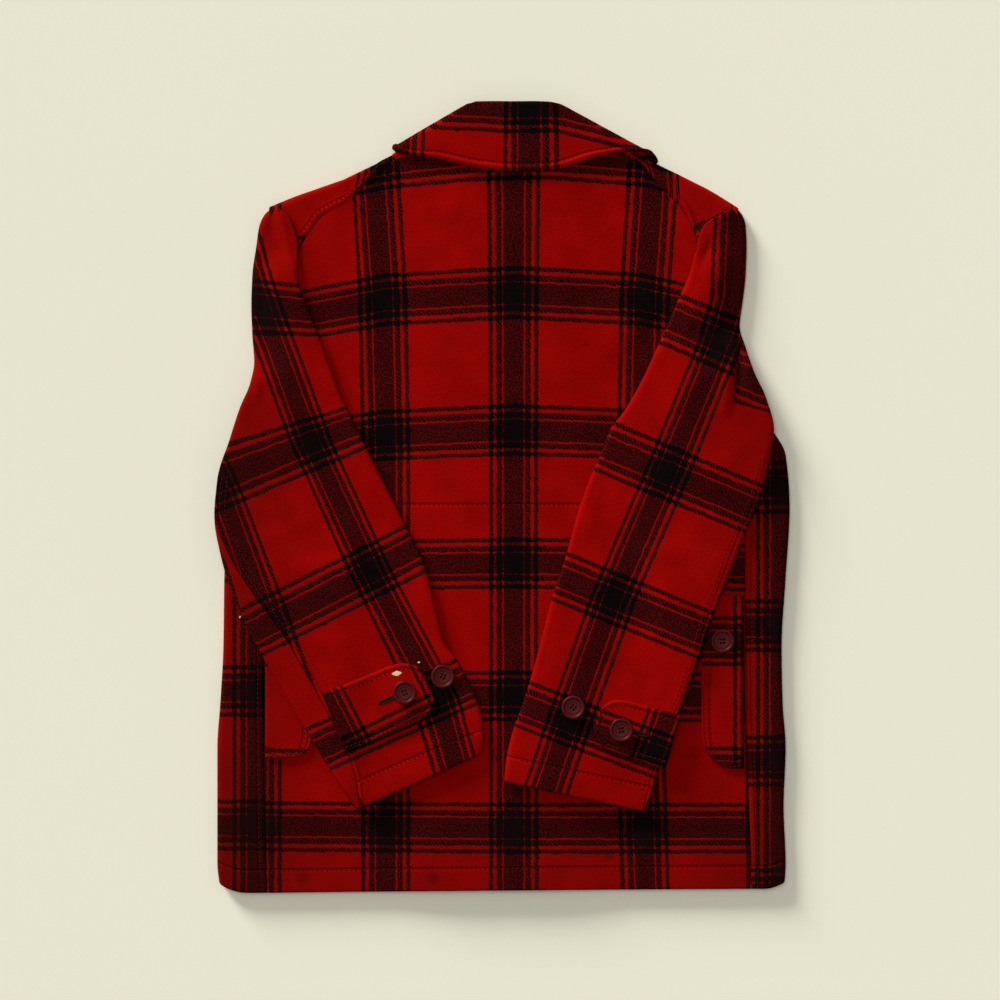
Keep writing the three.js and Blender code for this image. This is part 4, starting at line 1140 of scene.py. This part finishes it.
# Raised strips of doubled cloth along the edges: width and height
STRIPS = {"shoulder": (10, 1.0), "side": (9, 0.5), "sleeve": (7, 0.45), "cuff": (CUFF_STITCH, 0.3),
          "collar": (COLLAR_STITCH, 2.0), "pocket": (5, 0.5), "tab": (5, 0.5)}

# How far the edges at the neck and armholes reach on under their neighbours
BACK_NECK_REACH = 6.0
NECK_REACH = 15.0
ARMHOLE_REACH = 14.0

# Plaid at the shoulder seam, its shift on the sleeves' undersides, and rows of the collar between
# which its leaf lies flat
SEAM_PLAID = 0.78
UNDER_SHIFT = {"left": 0.36, "right": 0.0}
COLLAR_FLAT_ROWS = (8, 14)
# Fold that lies over the right elbow: from, to, and how far the plaid beyond it is shifted
ELBOW_FOLD = {"from": (240, 176), "to": (226, 92), "soft": 3, "top": 30, "shift": 0.16, "fade": 46}
BUTTONHOLE = {"start": 1.0, "length": 27.0, "half": 1.5, "thread": 0.75, "points": 36, "sides": 6}


def spread_mask(points, first, last, soft=9.0):
    """1 over the columns that lie on top, fading out round the folds."""
    along = border_distances(points)[2]
    rise = np.clip((along - along[:, first:first + 1]) / soft, 0, 1)
    fall = np.clip((along[:, last:last + 1] - along) / soft, 0, 1)
    return rise * fall


def marks_on(points):
    dirt_and_shade = np.zeros(points.shape[:2])
    for x, y, radius in MARKS:
        dirt_and_shade += np.exp(-(((points[..., 0] - x) ** 2 + (points[..., 1] - y) ** 2) / radius ** 2))
    return np.clip(dirt_and_shade, 0, 1)


def strip(kind, field):
    """Height of a raised strip along the border from which the field is measured."""
    width, height = STRIPS[kind]
    return height * np.clip(1 - ((field - width / 2) / (width / 2)) ** 2, 0, 1)


def ring_faces(rings, sides, first=0, flip=False, closed=False):
    """Faces between rings of points, numbered ring after ring from first."""
    faces = []
    for r in range(rings if closed else rings - 1):
        here, there = first + r * sides, first + (r + 1) % rings * sides
        for k in range(sides):
            other = (k + 1) % sides
            if flip:
                faces.append([here + k, there + k, there + other, here + other])
            else:
                faces.append([here + k, here + other, there + other, there + k])
    return faces


STITCH_PROFILE = [(0, 0.15), (0.18, 0.8), (0.5, 1.0), (0.82, 0.8), (1, 0.15)]
STITCH_SIDES = 5
STITCH_ARCH = 0.1


def stitches(name, line, length=3.1, gap=1.7, radius=0.3, material=None):
    """Single stitches laid along a line of points on the cloth."""
    line = np.asarray(line)
    run = np.concatenate([[0], np.cumsum(np.linalg.norm(line[1:] - line[:-1], axis=1))])
    points, faces = [], []
    for k in range(int((run[-1] - gap) // (length + gap))):
        start = gap / 2 + k * (length + gap)
        ends = [np.array([np.interp(start + d, run, line[:, c]) for c in range(3)]) for d in (0, length)]
        along = ends[1] - ends[0]
        size = np.linalg.norm(along)
        if size < 0.5 * length:
            continue
        side = np.cross(along / size, (0, 0, 1.0))
        side /= max(np.linalg.norm(side), 1e-6)
        up = np.cross(side, along / size)
        first = len(points)
        for t, wide in STITCH_PROFILE:
            middle = ends[0] + along * t + up * (STITCH_ARCH * (1 - (2 * t - 1) ** 2))
            for c in range(STITCH_SIDES):
                turn = math.radians(360 / STITCH_SIDES * c)
                points.append(middle + radius * wide * (side * math.cos(turn) + up * math.sin(turn)))
        faces += ring_faces(len(STITCH_PROFILE), STITCH_SIDES, first)
        last = len(points) - STITCH_SIDES
        faces.append([first + c for c in reversed(range(STITCH_SIDES))])
        faces.append([last + c for c in range(STITCH_SIDES)])
    return make_mesh(name, points, faces, material or seam_thread)


# Pieces of cloth

def sew(name, kind, points, out, border, distance, skip=0):
    """A row of stitches at a distance along the cloth from one border."""
    line = line_at(points, out, border, distance)
    stitches(name, line[skip:len(line) - skip] + (0, 0, SEW_LIFT[kind]))


def crease(kind, key, points, mask=1.0):
    points[..., 2] += relief(points, CREASES.get(key, []), LUMPS[kind], SEED[key]) * mask


def build_back():
    coarse = np.array(back_grid(), float)
    for edge, inner in ((0, 1), (-1, -2)):
        ahead = coarse[-2:, edge] - coarse[-2:, inner]
        coarse[-2:, edge, :2] += ahead[:, :2] / np.linalg.norm(ahead, axis=1)[:, None] * BACK_NECK_REACH
        coarse[-1, edge, 1] += BACK_NECK_REACH / 2
    points, _, _ = fine_grid(coarse, STEP["back"])
    crease("back", "back", points)
    uvs = plaid_places(PLAID["back"], points, 0, points.shape[1] - 1)
    hem = border_distances(points)[0]
    waist = points[..., 1] - WAIST_SEAM
    piece, out = cloth("back_cloth", "back_panel", points, uvs,
                       stitched=[hem - HEM_STITCH, waist], dirt_and_shade=marks_on(points))
    row = int(np.argmin(np.abs(waist[:, points.shape[1] // 2])))
    stitches("waist_stitches", points[row] + out[row] * VISUAL_HALF + (0, 0, SEW_LIFT["back"]))
    sew("hem_stitches_back", "back", points, out, 0, HEM_STITCH)
    return piece


def front_plaid(plaid, points, first, last, over):
    """Plaid coordinates of a front, carried on from the row over the shoulder to its seam."""
    uvs = plaid_places(plaid, points, first, last)
    uvs[..., 1] = between(plaid["crosses"], points[..., 0], points[..., 1])
    steps = np.linalg.norm(points[1:] - points[:-1], axis=2) / REPEAT
    for i in range(over + 1, points.shape[0]):
        uvs[i, :, 1] = uvs[i - 1, :, 1] + steps[i - 1]
    shift = (SEAM_PLAID - uvs[-1, (first + last) // 2, 1] + 0.5) % 1 - 0.5
    share = np.clip((np.arange(points.shape[0]) - over) / (points.shape[0] - over), 0, 1)
    uvs[..., 1] += (shift * share)[:, None]
    return uvs


def build_front(key):
    name = f"front_{key}"
    coarse = np.array(front_grid(key), float)
    for row in coarse[len(BODY) + 2 + ARMPIT_STATION:]:
        for edge, inner, reach in ((0, 1, NECK_REACH), (-1, -2, ARMHOLE_REACH)):
            ahead = (row[edge] - row[inner]) * (1, 1, 0)
            row[edge] += ahead / max(np.linalg.norm(ahead), 1.0) * reach
    points, rows, columns = fine_grid(coarse, STEP["front"])
    first, last = columns[FRONT_TOP_COLUMN], points.shape[1] - 1
    over, armpit = rows[len(BODY) + 1 + ARMPIT_STATION], rows[len(BODY)]
    uvs = front_plaid(PLAID[name], points, first, last, over)
    crease("front", name, points, spread_mask(points, first, last, 14))
    hem, shoulder, _, side_seam = border_distances(points)
    number = np.arange(points.shape[0])[:, None]
    raised = strip("shoulder", shoulder) * (number > over) + strip("side", side_seam) * (number < armpit)
    piece, out = cloth(
        f"{name}_cloth", name, points, uvs, (rows[4], last - 3), raised=raised, dirt_and_shade=marks_on(points),
        stitched=[hem - HEM_STITCH, shoulder - SHOULDER_STITCH, side_seam - SIDE_STITCH])
    sew(f"shoulder_stitches_{key}", "shoulder", points, out, 1, SHOULDER_STITCH)
    sew(f"side_stitches_{key}", "side", points[:armpit], out[:armpit], 3, SIDE_STITCH)
    return piece


def elbow_shift(points):
    """How far the plaid is shifted where the cloth runs under the fold at the right elbow."""
    fold = ELBOW_FOLD
    (ax, ay), (bx, by) = fold["from"], fold["to"]
    x, y = points[..., 0], points[..., 1]
    line = ax + (bx - ax) * (y - ay) / (by - ay)
    beyond = np.clip((x - line) / fold["soft"], 0, 1)
    lower = np.clip((y - by + fold["fade"]) / fold["fade"], 0, 1)
    return fold["shift"] * beyond * lower * np.clip((ay + fold["top"] - y) / fold["top"], 0, 1)


def build_sleeve(key):
    name = f"sleeve_{key}"
    points, rows, columns = fine_grid(sleeve_upper_grid(SLEEVES[key]), STEP["sleeve"])
    first, last = columns[SLEEVE_FIRST_TOP], columns[SLEEVE_LAST_TOP]
    uvs = plaid_places(PLAID[name], points, first, last)
    if key == "right":
        uvs[..., 1] += elbow_shift(points)
    crease("sleeve", name, points, spread_mask(points, first, last))
    _, cuff, outer_seam, _ = border_distances(points)
    seam_row = rows[ARMPIT_STATION + 3]
    below = (np.arange(points.shape[0]) >= seam_row)[:, None]
    raised = strip("sleeve", outer_seam) * below + strip("cuff", cuff)
    seam_lines = np.where(below, outer_seam - SLEEVE_STITCHES[0], NO_STITCHES)
    upper, out = cloth(f"{name}_upper_cloth", f"{name}_upper", points, uvs, (rows[14], (first + last) // 2),
                       raised=raised, stitched=[cuff - CUFF_STITCH, seam_lines])
    for number, distance in enumerate(SLEEVE_STITCHES):
        sew(f"{name}_seam_stitches_{number + 1}", "sleeve", points[seam_row:], out[seam_row:], 2, distance)
    sew(f"cuff_{key}_stitches", "cuff", points[:, first:last], out[:, first:last], 1, CUFF_STITCH)

    points, _, columns = fine_grid(sleeve_under_grid(SLEEVES[key]), STEP["under"])
    last = points.shape[1] - 1
    uvs = plaid_places(PLAID[name], points, columns[8], last) + (UNDER_SHIFT[key], 0)
    under, _ = cloth(f"{name}_under_cloth", f"{name}_under", points, uvs, (points.shape[0] // 2, last - 3))
    return upper, under


def build_collar():
    points, rows, columns = fine_grid(collar_grid(), STEP["collar"])
    first, last = columns[COLLAR_LEAF_COLUMN], points.shape[1] - 1
    swapped = {"ups": PLAID["collar"]["crosses"], "crosses": PLAID["collar"]["ups"]}
    uvs = plaid_places(swapped, points[..., [1, 0, 2]], first, last)[..., ::-1].copy()
    steps = np.linalg.norm(points[1:] - points[:-1], axis=2) / REPEAT
    left, right = (rows[row] for row in COLLAR_FLAT_ROWS)
    for i in range(left - 1, -1, -1):
        uvs[i, :, 0] = uvs[i + 1, :, 0] - steps[i]
    for i in range(right + 1, points.shape[0]):
        uvs[i, :, 0] = uvs[i - 1, :, 0] + steps[i - 1]
    uvs[:left, :, 1] = uvs[left, :, 1]
    uvs[right + 1:, :, 1] = uvs[right, :, 1]
    crease("collar", "collar", points, spread_mask(points, first, last))
    edge = border_distances(points)[3]
    piece, out = cloth("collar_cloth", "collar", points, uvs, ((left + right) // 2, last - 4),
                       raised=strip("collar", edge), stitched=[edge - COLLAR_STITCH])
    sew("collar_stitches", "collar", points[left:right], out[left:right], 3, COLLAR_STITCH)
    return piece


def build_pocket(key):
    name = f"pocket_end_{key}"
    points, _, _ = fine_grid(pocket_grid(key), STEP["pocket"])
    crease("pocket", f"pocket_{key}", points)
    uvs = plaid_places(PLAID[f"pocket_{key}"], points, 0, points.shape[1] - 1)
    distances = border_distances(points)
    edge = np.minimum(distances[1], distances[2])
    piece, out = cloth(f"{name}_cloth", name, points, uvs, raised=strip("pocket", edge),
                       stitched=[edge - distance for distance in POCKET_STITCHES])
    rows, columns = -POCKET_CORNER["rows"], POCKET_CORNER["columns"]
    for number, distance in enumerate(POCKET_STITCHES):
        part = f"stitches_{number + 1}"
        sew(f"pocket_{key}_side_{part}", "pocket", points[:rows], out[:rows], 2, distance)
        sew(f"pocket_{key}_foot_{part}", "pocket", points[:, columns:], out[:, columns:], 1, distance)
    return piece


def build_tab(key):
    name = f"cuff_tab_{key}"
    points, _, _ = fine_grid(tab_grid(SLEEVES[key], TABS[key]), STEP["tab"])
    crease("tab", f"tab_{key}", points)
    uvs = plaid_places(PLAID[f"tab_{key}"], points, 0, points.shape[1] - 1)
    edge = np.minimum.reduce(border_distances(points)[1:])
    piece, out = cloth(f"{name}_cloth", name, points, uvs,
                       raised=strip("tab", edge), stitched=[edge - TAB_STITCH])
    for border, place in ((1, "end"), (2, "lower"), (3, "upper")):
        sew(f"tab_{key}_{place}_stitches", "tab", points, out, border, TAB_STITCH, TAB_CORNER)
    build_buttonhole(key, points)
    return piece


def build_buttonhole(key, points):
    """A bound slit from the tab's button back towards the sewn end."""
    start = np.array(TABS[key]["button"], float)
    toward = np.array(TABS[key]["root"], float) - start
    toward /= np.linalg.norm(toward)
    across = np.array([-toward[1], toward[0]])
    flat = points.reshape(-1, 3)

    def on_tab(place, lift):
        nearest = flat[np.argmin(np.hypot(flat[:, 0] - place[0], flat[:, 1] - place[1]))]
        return np.array([place[0], place[1], nearest[2] + VISUAL_HALF + lift])

    length, count, sides = BUTTONHOLE["length"], BUTTONHOLE["points"], BUTTONHOLE["sides"]
    begin = start + toward * BUTTONHOLE["start"]
    loop = []
    for k in range(count):
        turn = 2 * math.pi * k / count
        a = length / 2 + math.copysign(abs(math.cos(turn)) ** 0.35, math.cos(turn)) * length / 2
        loop.append(begin + toward * a + across * BUTTONHOLE["half"] * math.sin(turn))
    edge = []
    for k, place in enumerate(loop):
        ahead = loop[(k + 1) % count] - loop[k - 1]
        ahead /= np.linalg.norm(ahead)
        side = np.array([-ahead[1], ahead[0], 0])
        radius = BUTTONHOLE["thread"] * (1 + 0.18 * (k % 2))
        for c in range(sides):
            turn = 2 * math.pi * c / sides
            edge.append(on_tab(place, 0.15) + side * radius * math.cos(turn)
                        + np.array([0, 0, 0.7 * radius * math.sin(turn)]))
    make_mesh(f"buttonhole_{key}", edge, ring_faces(count, sides, flip=True, closed=True), dark_thread)
    # A dark sheet fills the slit: painted shade of its opening
    slit = [on_tab(place, 0.12) for place in loop]
    slit.append(on_tab(begin + toward * length / 2, 0.05))
    fan = [[k, (k + 1) % count, count] for k in range(count)]
    make_mesh(f"buttonhole_slit_painted_shade_{key}", slit, fan, dark_thread)


# Buttons: radius and height along the profile of the disc

BUTTON_PROFILE = [
    (5.0, 0.1), (8.6, 0.0), (10.4, 0.35), (11.4, 1.05), (11.8, 1.85), (11.65, 2.65), (11.1, 3.2), (10.3, 3.4),
    (9.5, 3.25), (9.0, 2.85), (8.5, 2.35), (7.9, 2.1), (7.2, 2.1), (6.8, 2.3), (6.3, 2.35), (5.8, 2.15),
    (5.0, 2.0), (3.0, 1.95),
]
BUTTON_SIDES = 64
BUTTON_HEIGHT = 3.4
HOLE_OFFSET = 2.5
HOLE_RADIUS = 1.15
HOLE_SIDES = 16
STRAND = {"radius": 0.26, "sides": 6, "apart": 0.3, "low": 1.4, "arch": 0.85}


def circle(radius, sides, x=0.0, y=0.0, z=0.0):
    turns = [2 * math.pi * k / sides for k in range(sides)]
    return [(x + radius * math.cos(turn), y + radius * math.sin(turn), z) for turn in turns]


def closed_form(name, points, rings, sides):
    """An object of rings of points with both ends closed."""
    ends = [list(range(sides))[::-1], list(range((rings - 1) * sides, rings * sides))]
    return new_object(name, new_mesh(name, points, ring_faces(rings, sides) + ends))


def button_form():
    """Points and faces of a four-hole button that stands on z = 0, in millimetres."""
    points = [point for radius, z in BUTTON_PROFILE for point in circle(radius, BUTTON_SIDES, z=z)]
    disc = closed_form("disc", points, len(BUTTON_PROFILE), BUTTON_SIDES)
    drills = []
    for angle in (45, 135, 225, 315):
        turn = math.radians(angle)
        x, y = HOLE_OFFSET * math.cos(turn), HOLE_OFFSET * math.sin(turn)
        points = [point for z in (-1, 5) for point in circle(HOLE_RADIUS, HOLE_SIDES, x, y, z)]
        drill = closed_form("drill", points, 2, HOLE_SIDES)
        cut = disc.modifiers.new("hole", "BOOLEAN")
        cut.operation = "DIFFERENCE"
        cut.solver = "EXACT"
        cut.object = drill
        drills.append(drill)
    made = disc.evaluated_get(bpy.context.evaluated_depsgraph_get()).to_mesh()
    form = ([tuple(v.co) for v in made.vertices], [list(p.vertices) for p in made.polygons])
    for thing in (disc, *drills):
        bpy.data.objects.remove(thing)
    return form


def thread_form():
    """Points and faces of the four strands that cross a button in pairs."""
    points, faces = [], []
    offset = HOLE_OFFSET * math.sqrt(0.5)
    path = (0, 0.12, 0.3, 0.5, 0.7, 0.88, 1)
    for row in (-1, 1):
        for strand in (-STRAND["apart"], STRAND["apart"]):
            faces += ring_faces(len(path), STRAND["sides"], len(points), flip=True)
            for t in path:
                height = STRAND["low"] + STRAND["arch"] * math.sin(math.pi * t) ** 0.6
                for k in range(STRAND["sides"]):
                    spin = 2 * math.pi * k / STRAND["sides"]
                    points.append((offset * (2 * t - 1),
                                   row * offset + strand + STRAND["radius"] * math.cos(spin),
                                   height + STRAND["radius"] * math.sin(spin)))
    return points, faces


def place_button(node, turn, face_down=False):
    """A button and its thread over its solid, turned by so many degrees."""
    low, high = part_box(node)
    centre = ((low + high) / 2) / MM
    x = centre[0] + OUTLINE_MIDDLE["x"]
    y = centre[1] + OUTLINE_MIDDLE["y"]
    squeeze = (high[2] - low[2]) / MM / BUTTON_HEIGHT
    c, s = math.cos(math.radians(turn)), math.sin(math.radians(turn))

    def put(point):
        z = (BUTTON_HEIGHT - point[2]) if face_down else point[2]
        return x + (c * point[0] - s * point[1]), y + (s * point[0] + c * point[1]), low[2] / MM + z * squeeze

    points, faces = button
    order = [face[::-1] for face in faces] if face_down else faces
    piece = make_mesh(f"{node}_disc", [put(p) for p in points], order, burgundy)
    bevel = piece.modifiers.new("edges", "EDGE_SPLIT")
    bevel.split_angle = math.radians(50)
    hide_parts(node)
    points, faces = button_strands
    make_mesh(f"{node}_thread", [put(p) for p in points], faces, button_thread)


back = build_back()
fronts = [build_front("left"), build_front("right")]
left_upper, left_under = build_sleeve("left")
right_upper, right_under = build_sleeve("right")
collar = build_collar()
pockets = [build_pocket("left"), build_pocket("right")]
tabs = [build_tab("left"), build_tab("right")]
button = button_form()
button_strands = thread_form()
place_button("button_tab_left", 20)
place_button("button_sleeve_left", 65)
place_button("button_tab_right", 10)
place_button("button_sleeve_right", 50)
place_button("button_pocket_right", 0)
for number in range(1, 6):
    place_button(f"button_front_{number}", 15 * number, face_down=True)

# Armhole edges, the worn spot on the left tab and two bits of lint, found from above

ARMHOLE_EDGE = {
    "left": [(-226, 290), (-219, 287), (-214, 283), (-209, 272), (-204, 255)],
    "right": [(235, 291), (226, 289), (218.5, 284.5), (205, 278), (197, 266), (195, 254)],
}
LOWEST_EDGE = 2.0
SEARCH_FROM = 200.0
LIFT = 0.2
# Name, place, half length and half width, and turn in degrees
SPOTS = [
    ("worn_spot", (-105, -175.5), (5.0, 2.6), 8),
    ("lint_1", (-83, -164.5), (0.9 * 1.6, 0.9), 20),
    ("lint_2", (-262, -119.5), (0.8 * 1.6, 0.8), 70),
]


def on_top(x, y, lift=LIFT):
    """Point just above whatever lies uppermost at a place."""
    start = to_world([(x, y, SEARCH_FROM)])[0]
    _, place, *_ = bpy.context.scene.ray_cast(
        bpy.context.evaluated_depsgraph_get(), Vector(start), Vector((0, 0, -1)))
    return np.array([x, y, place.z / MM + lift])


def pale_spot(name, at, half, turn):
    """A thin rounded diamond lying on the cloth."""
    sides = 16
    c, s = math.cos(math.radians(turn)), math.sin(math.radians(turn))
    points = [on_top(*at, LIFT + 0.15)]
    for k in range(sides):
        angle = 2 * math.pi * k / sides
        px = half[0] * math.copysign(abs(math.cos(angle)) ** 1.5, math.cos(angle))
        py = half[1] * math.copysign(abs(math.sin(angle)) ** 1.5, math.sin(angle))
        points.append(on_top(at[0] + c * px - s * py, at[1] + s * px + c * py))
    return make_mesh(name, points, [[0, 1 + k, 1 + (k + 1) % sides] for k in range(sides)], pale_thread)


bpy.context.view_layer.update()
for key, line in ARMHOLE_EDGE.items():
    placed = [point for point in (on_top(x, y) for x, y in line) if point[2] > LOWEST_EDGE]
    stitches(f"armhole_edge_{key}", placed, length=3.4, gap=1.6, radius=1.0, material=dark_thread)
for spot in SPOTS:
    pale_spot(*spot)

# Floor, in metres
FLOOR_HALF = 4
corners = [(x * FLOOR_HALF, y * FLOOR_HALF, 0) for x, y in ((-1, -1), (1, -1), (1, 1), (-1, 1))]
floor = new_object("floor", new_mesh("floor", corners, [[0, 1, 2, 3]], floor_material()))

# Name, direction that it comes from, strength and softness in degrees. The low one throws the
# broad shadow to the lower right
SUNS = [("high_sun", (-0.1, 0.15, 1.0), 1.0, 30), ("low_sun", (-0.6, 0.8, 0.25), 5.5, 18)]
SUN_COLOUR = (1.0, 0.985, 0.96)
WORLD_COLOUR = (1.0, 0.99, 0.965, 1)
WORLD_STRENGTH = 0.262
for name, direction, energy, softness in SUNS:
    sun_data = bpy.data.lights.new(name, "SUN")
    sun_data.energy = energy
    sun_data.angle = math.radians(softness)
    sun_data.color = SUN_COLOUR
    new_object(name, sun_data).rotation_euler = Vector(direction).to_track_quat("Z", "Y").to_euler()

world = bpy.data.worlds.new("studio")
world.use_nodes = True
background = world.node_tree.nodes["Background"]
background.inputs["Color"].default_value = WORLD_COLOUR
background.inputs["Strength"].default_value = WORLD_STRENGTH
bpy.context.scene.world = world
bpy.context.scene.view_settings.view_transform = "Standard"

# The photograph shows 1 mm a pixel 10 mm above the floor, and its middle is 2 mm and 2.5 mm from
# the middle of the back. Height, level and width are in metres
CAMERA_HEIGHT = 6.01
PHOTO_LEVEL = 0.01
PHOTO_WIDTH = 1.0
PHOTO_MIDDLE = (-2.0, -2.5)
camera_data = bpy.data.cameras.new("camera")
camera_data.lens = camera_data.sensor_width * (CAMERA_HEIGHT - PHOTO_LEVEL) / PHOTO_WIDTH
camera_data.clip_end = 20
camera = new_object("camera", camera_data)
camera.location = (*to_world([(*PHOTO_MIDDLE, 0)])[0][:2], CAMERA_HEIGHT)
bpy.context.scene.camera = camera
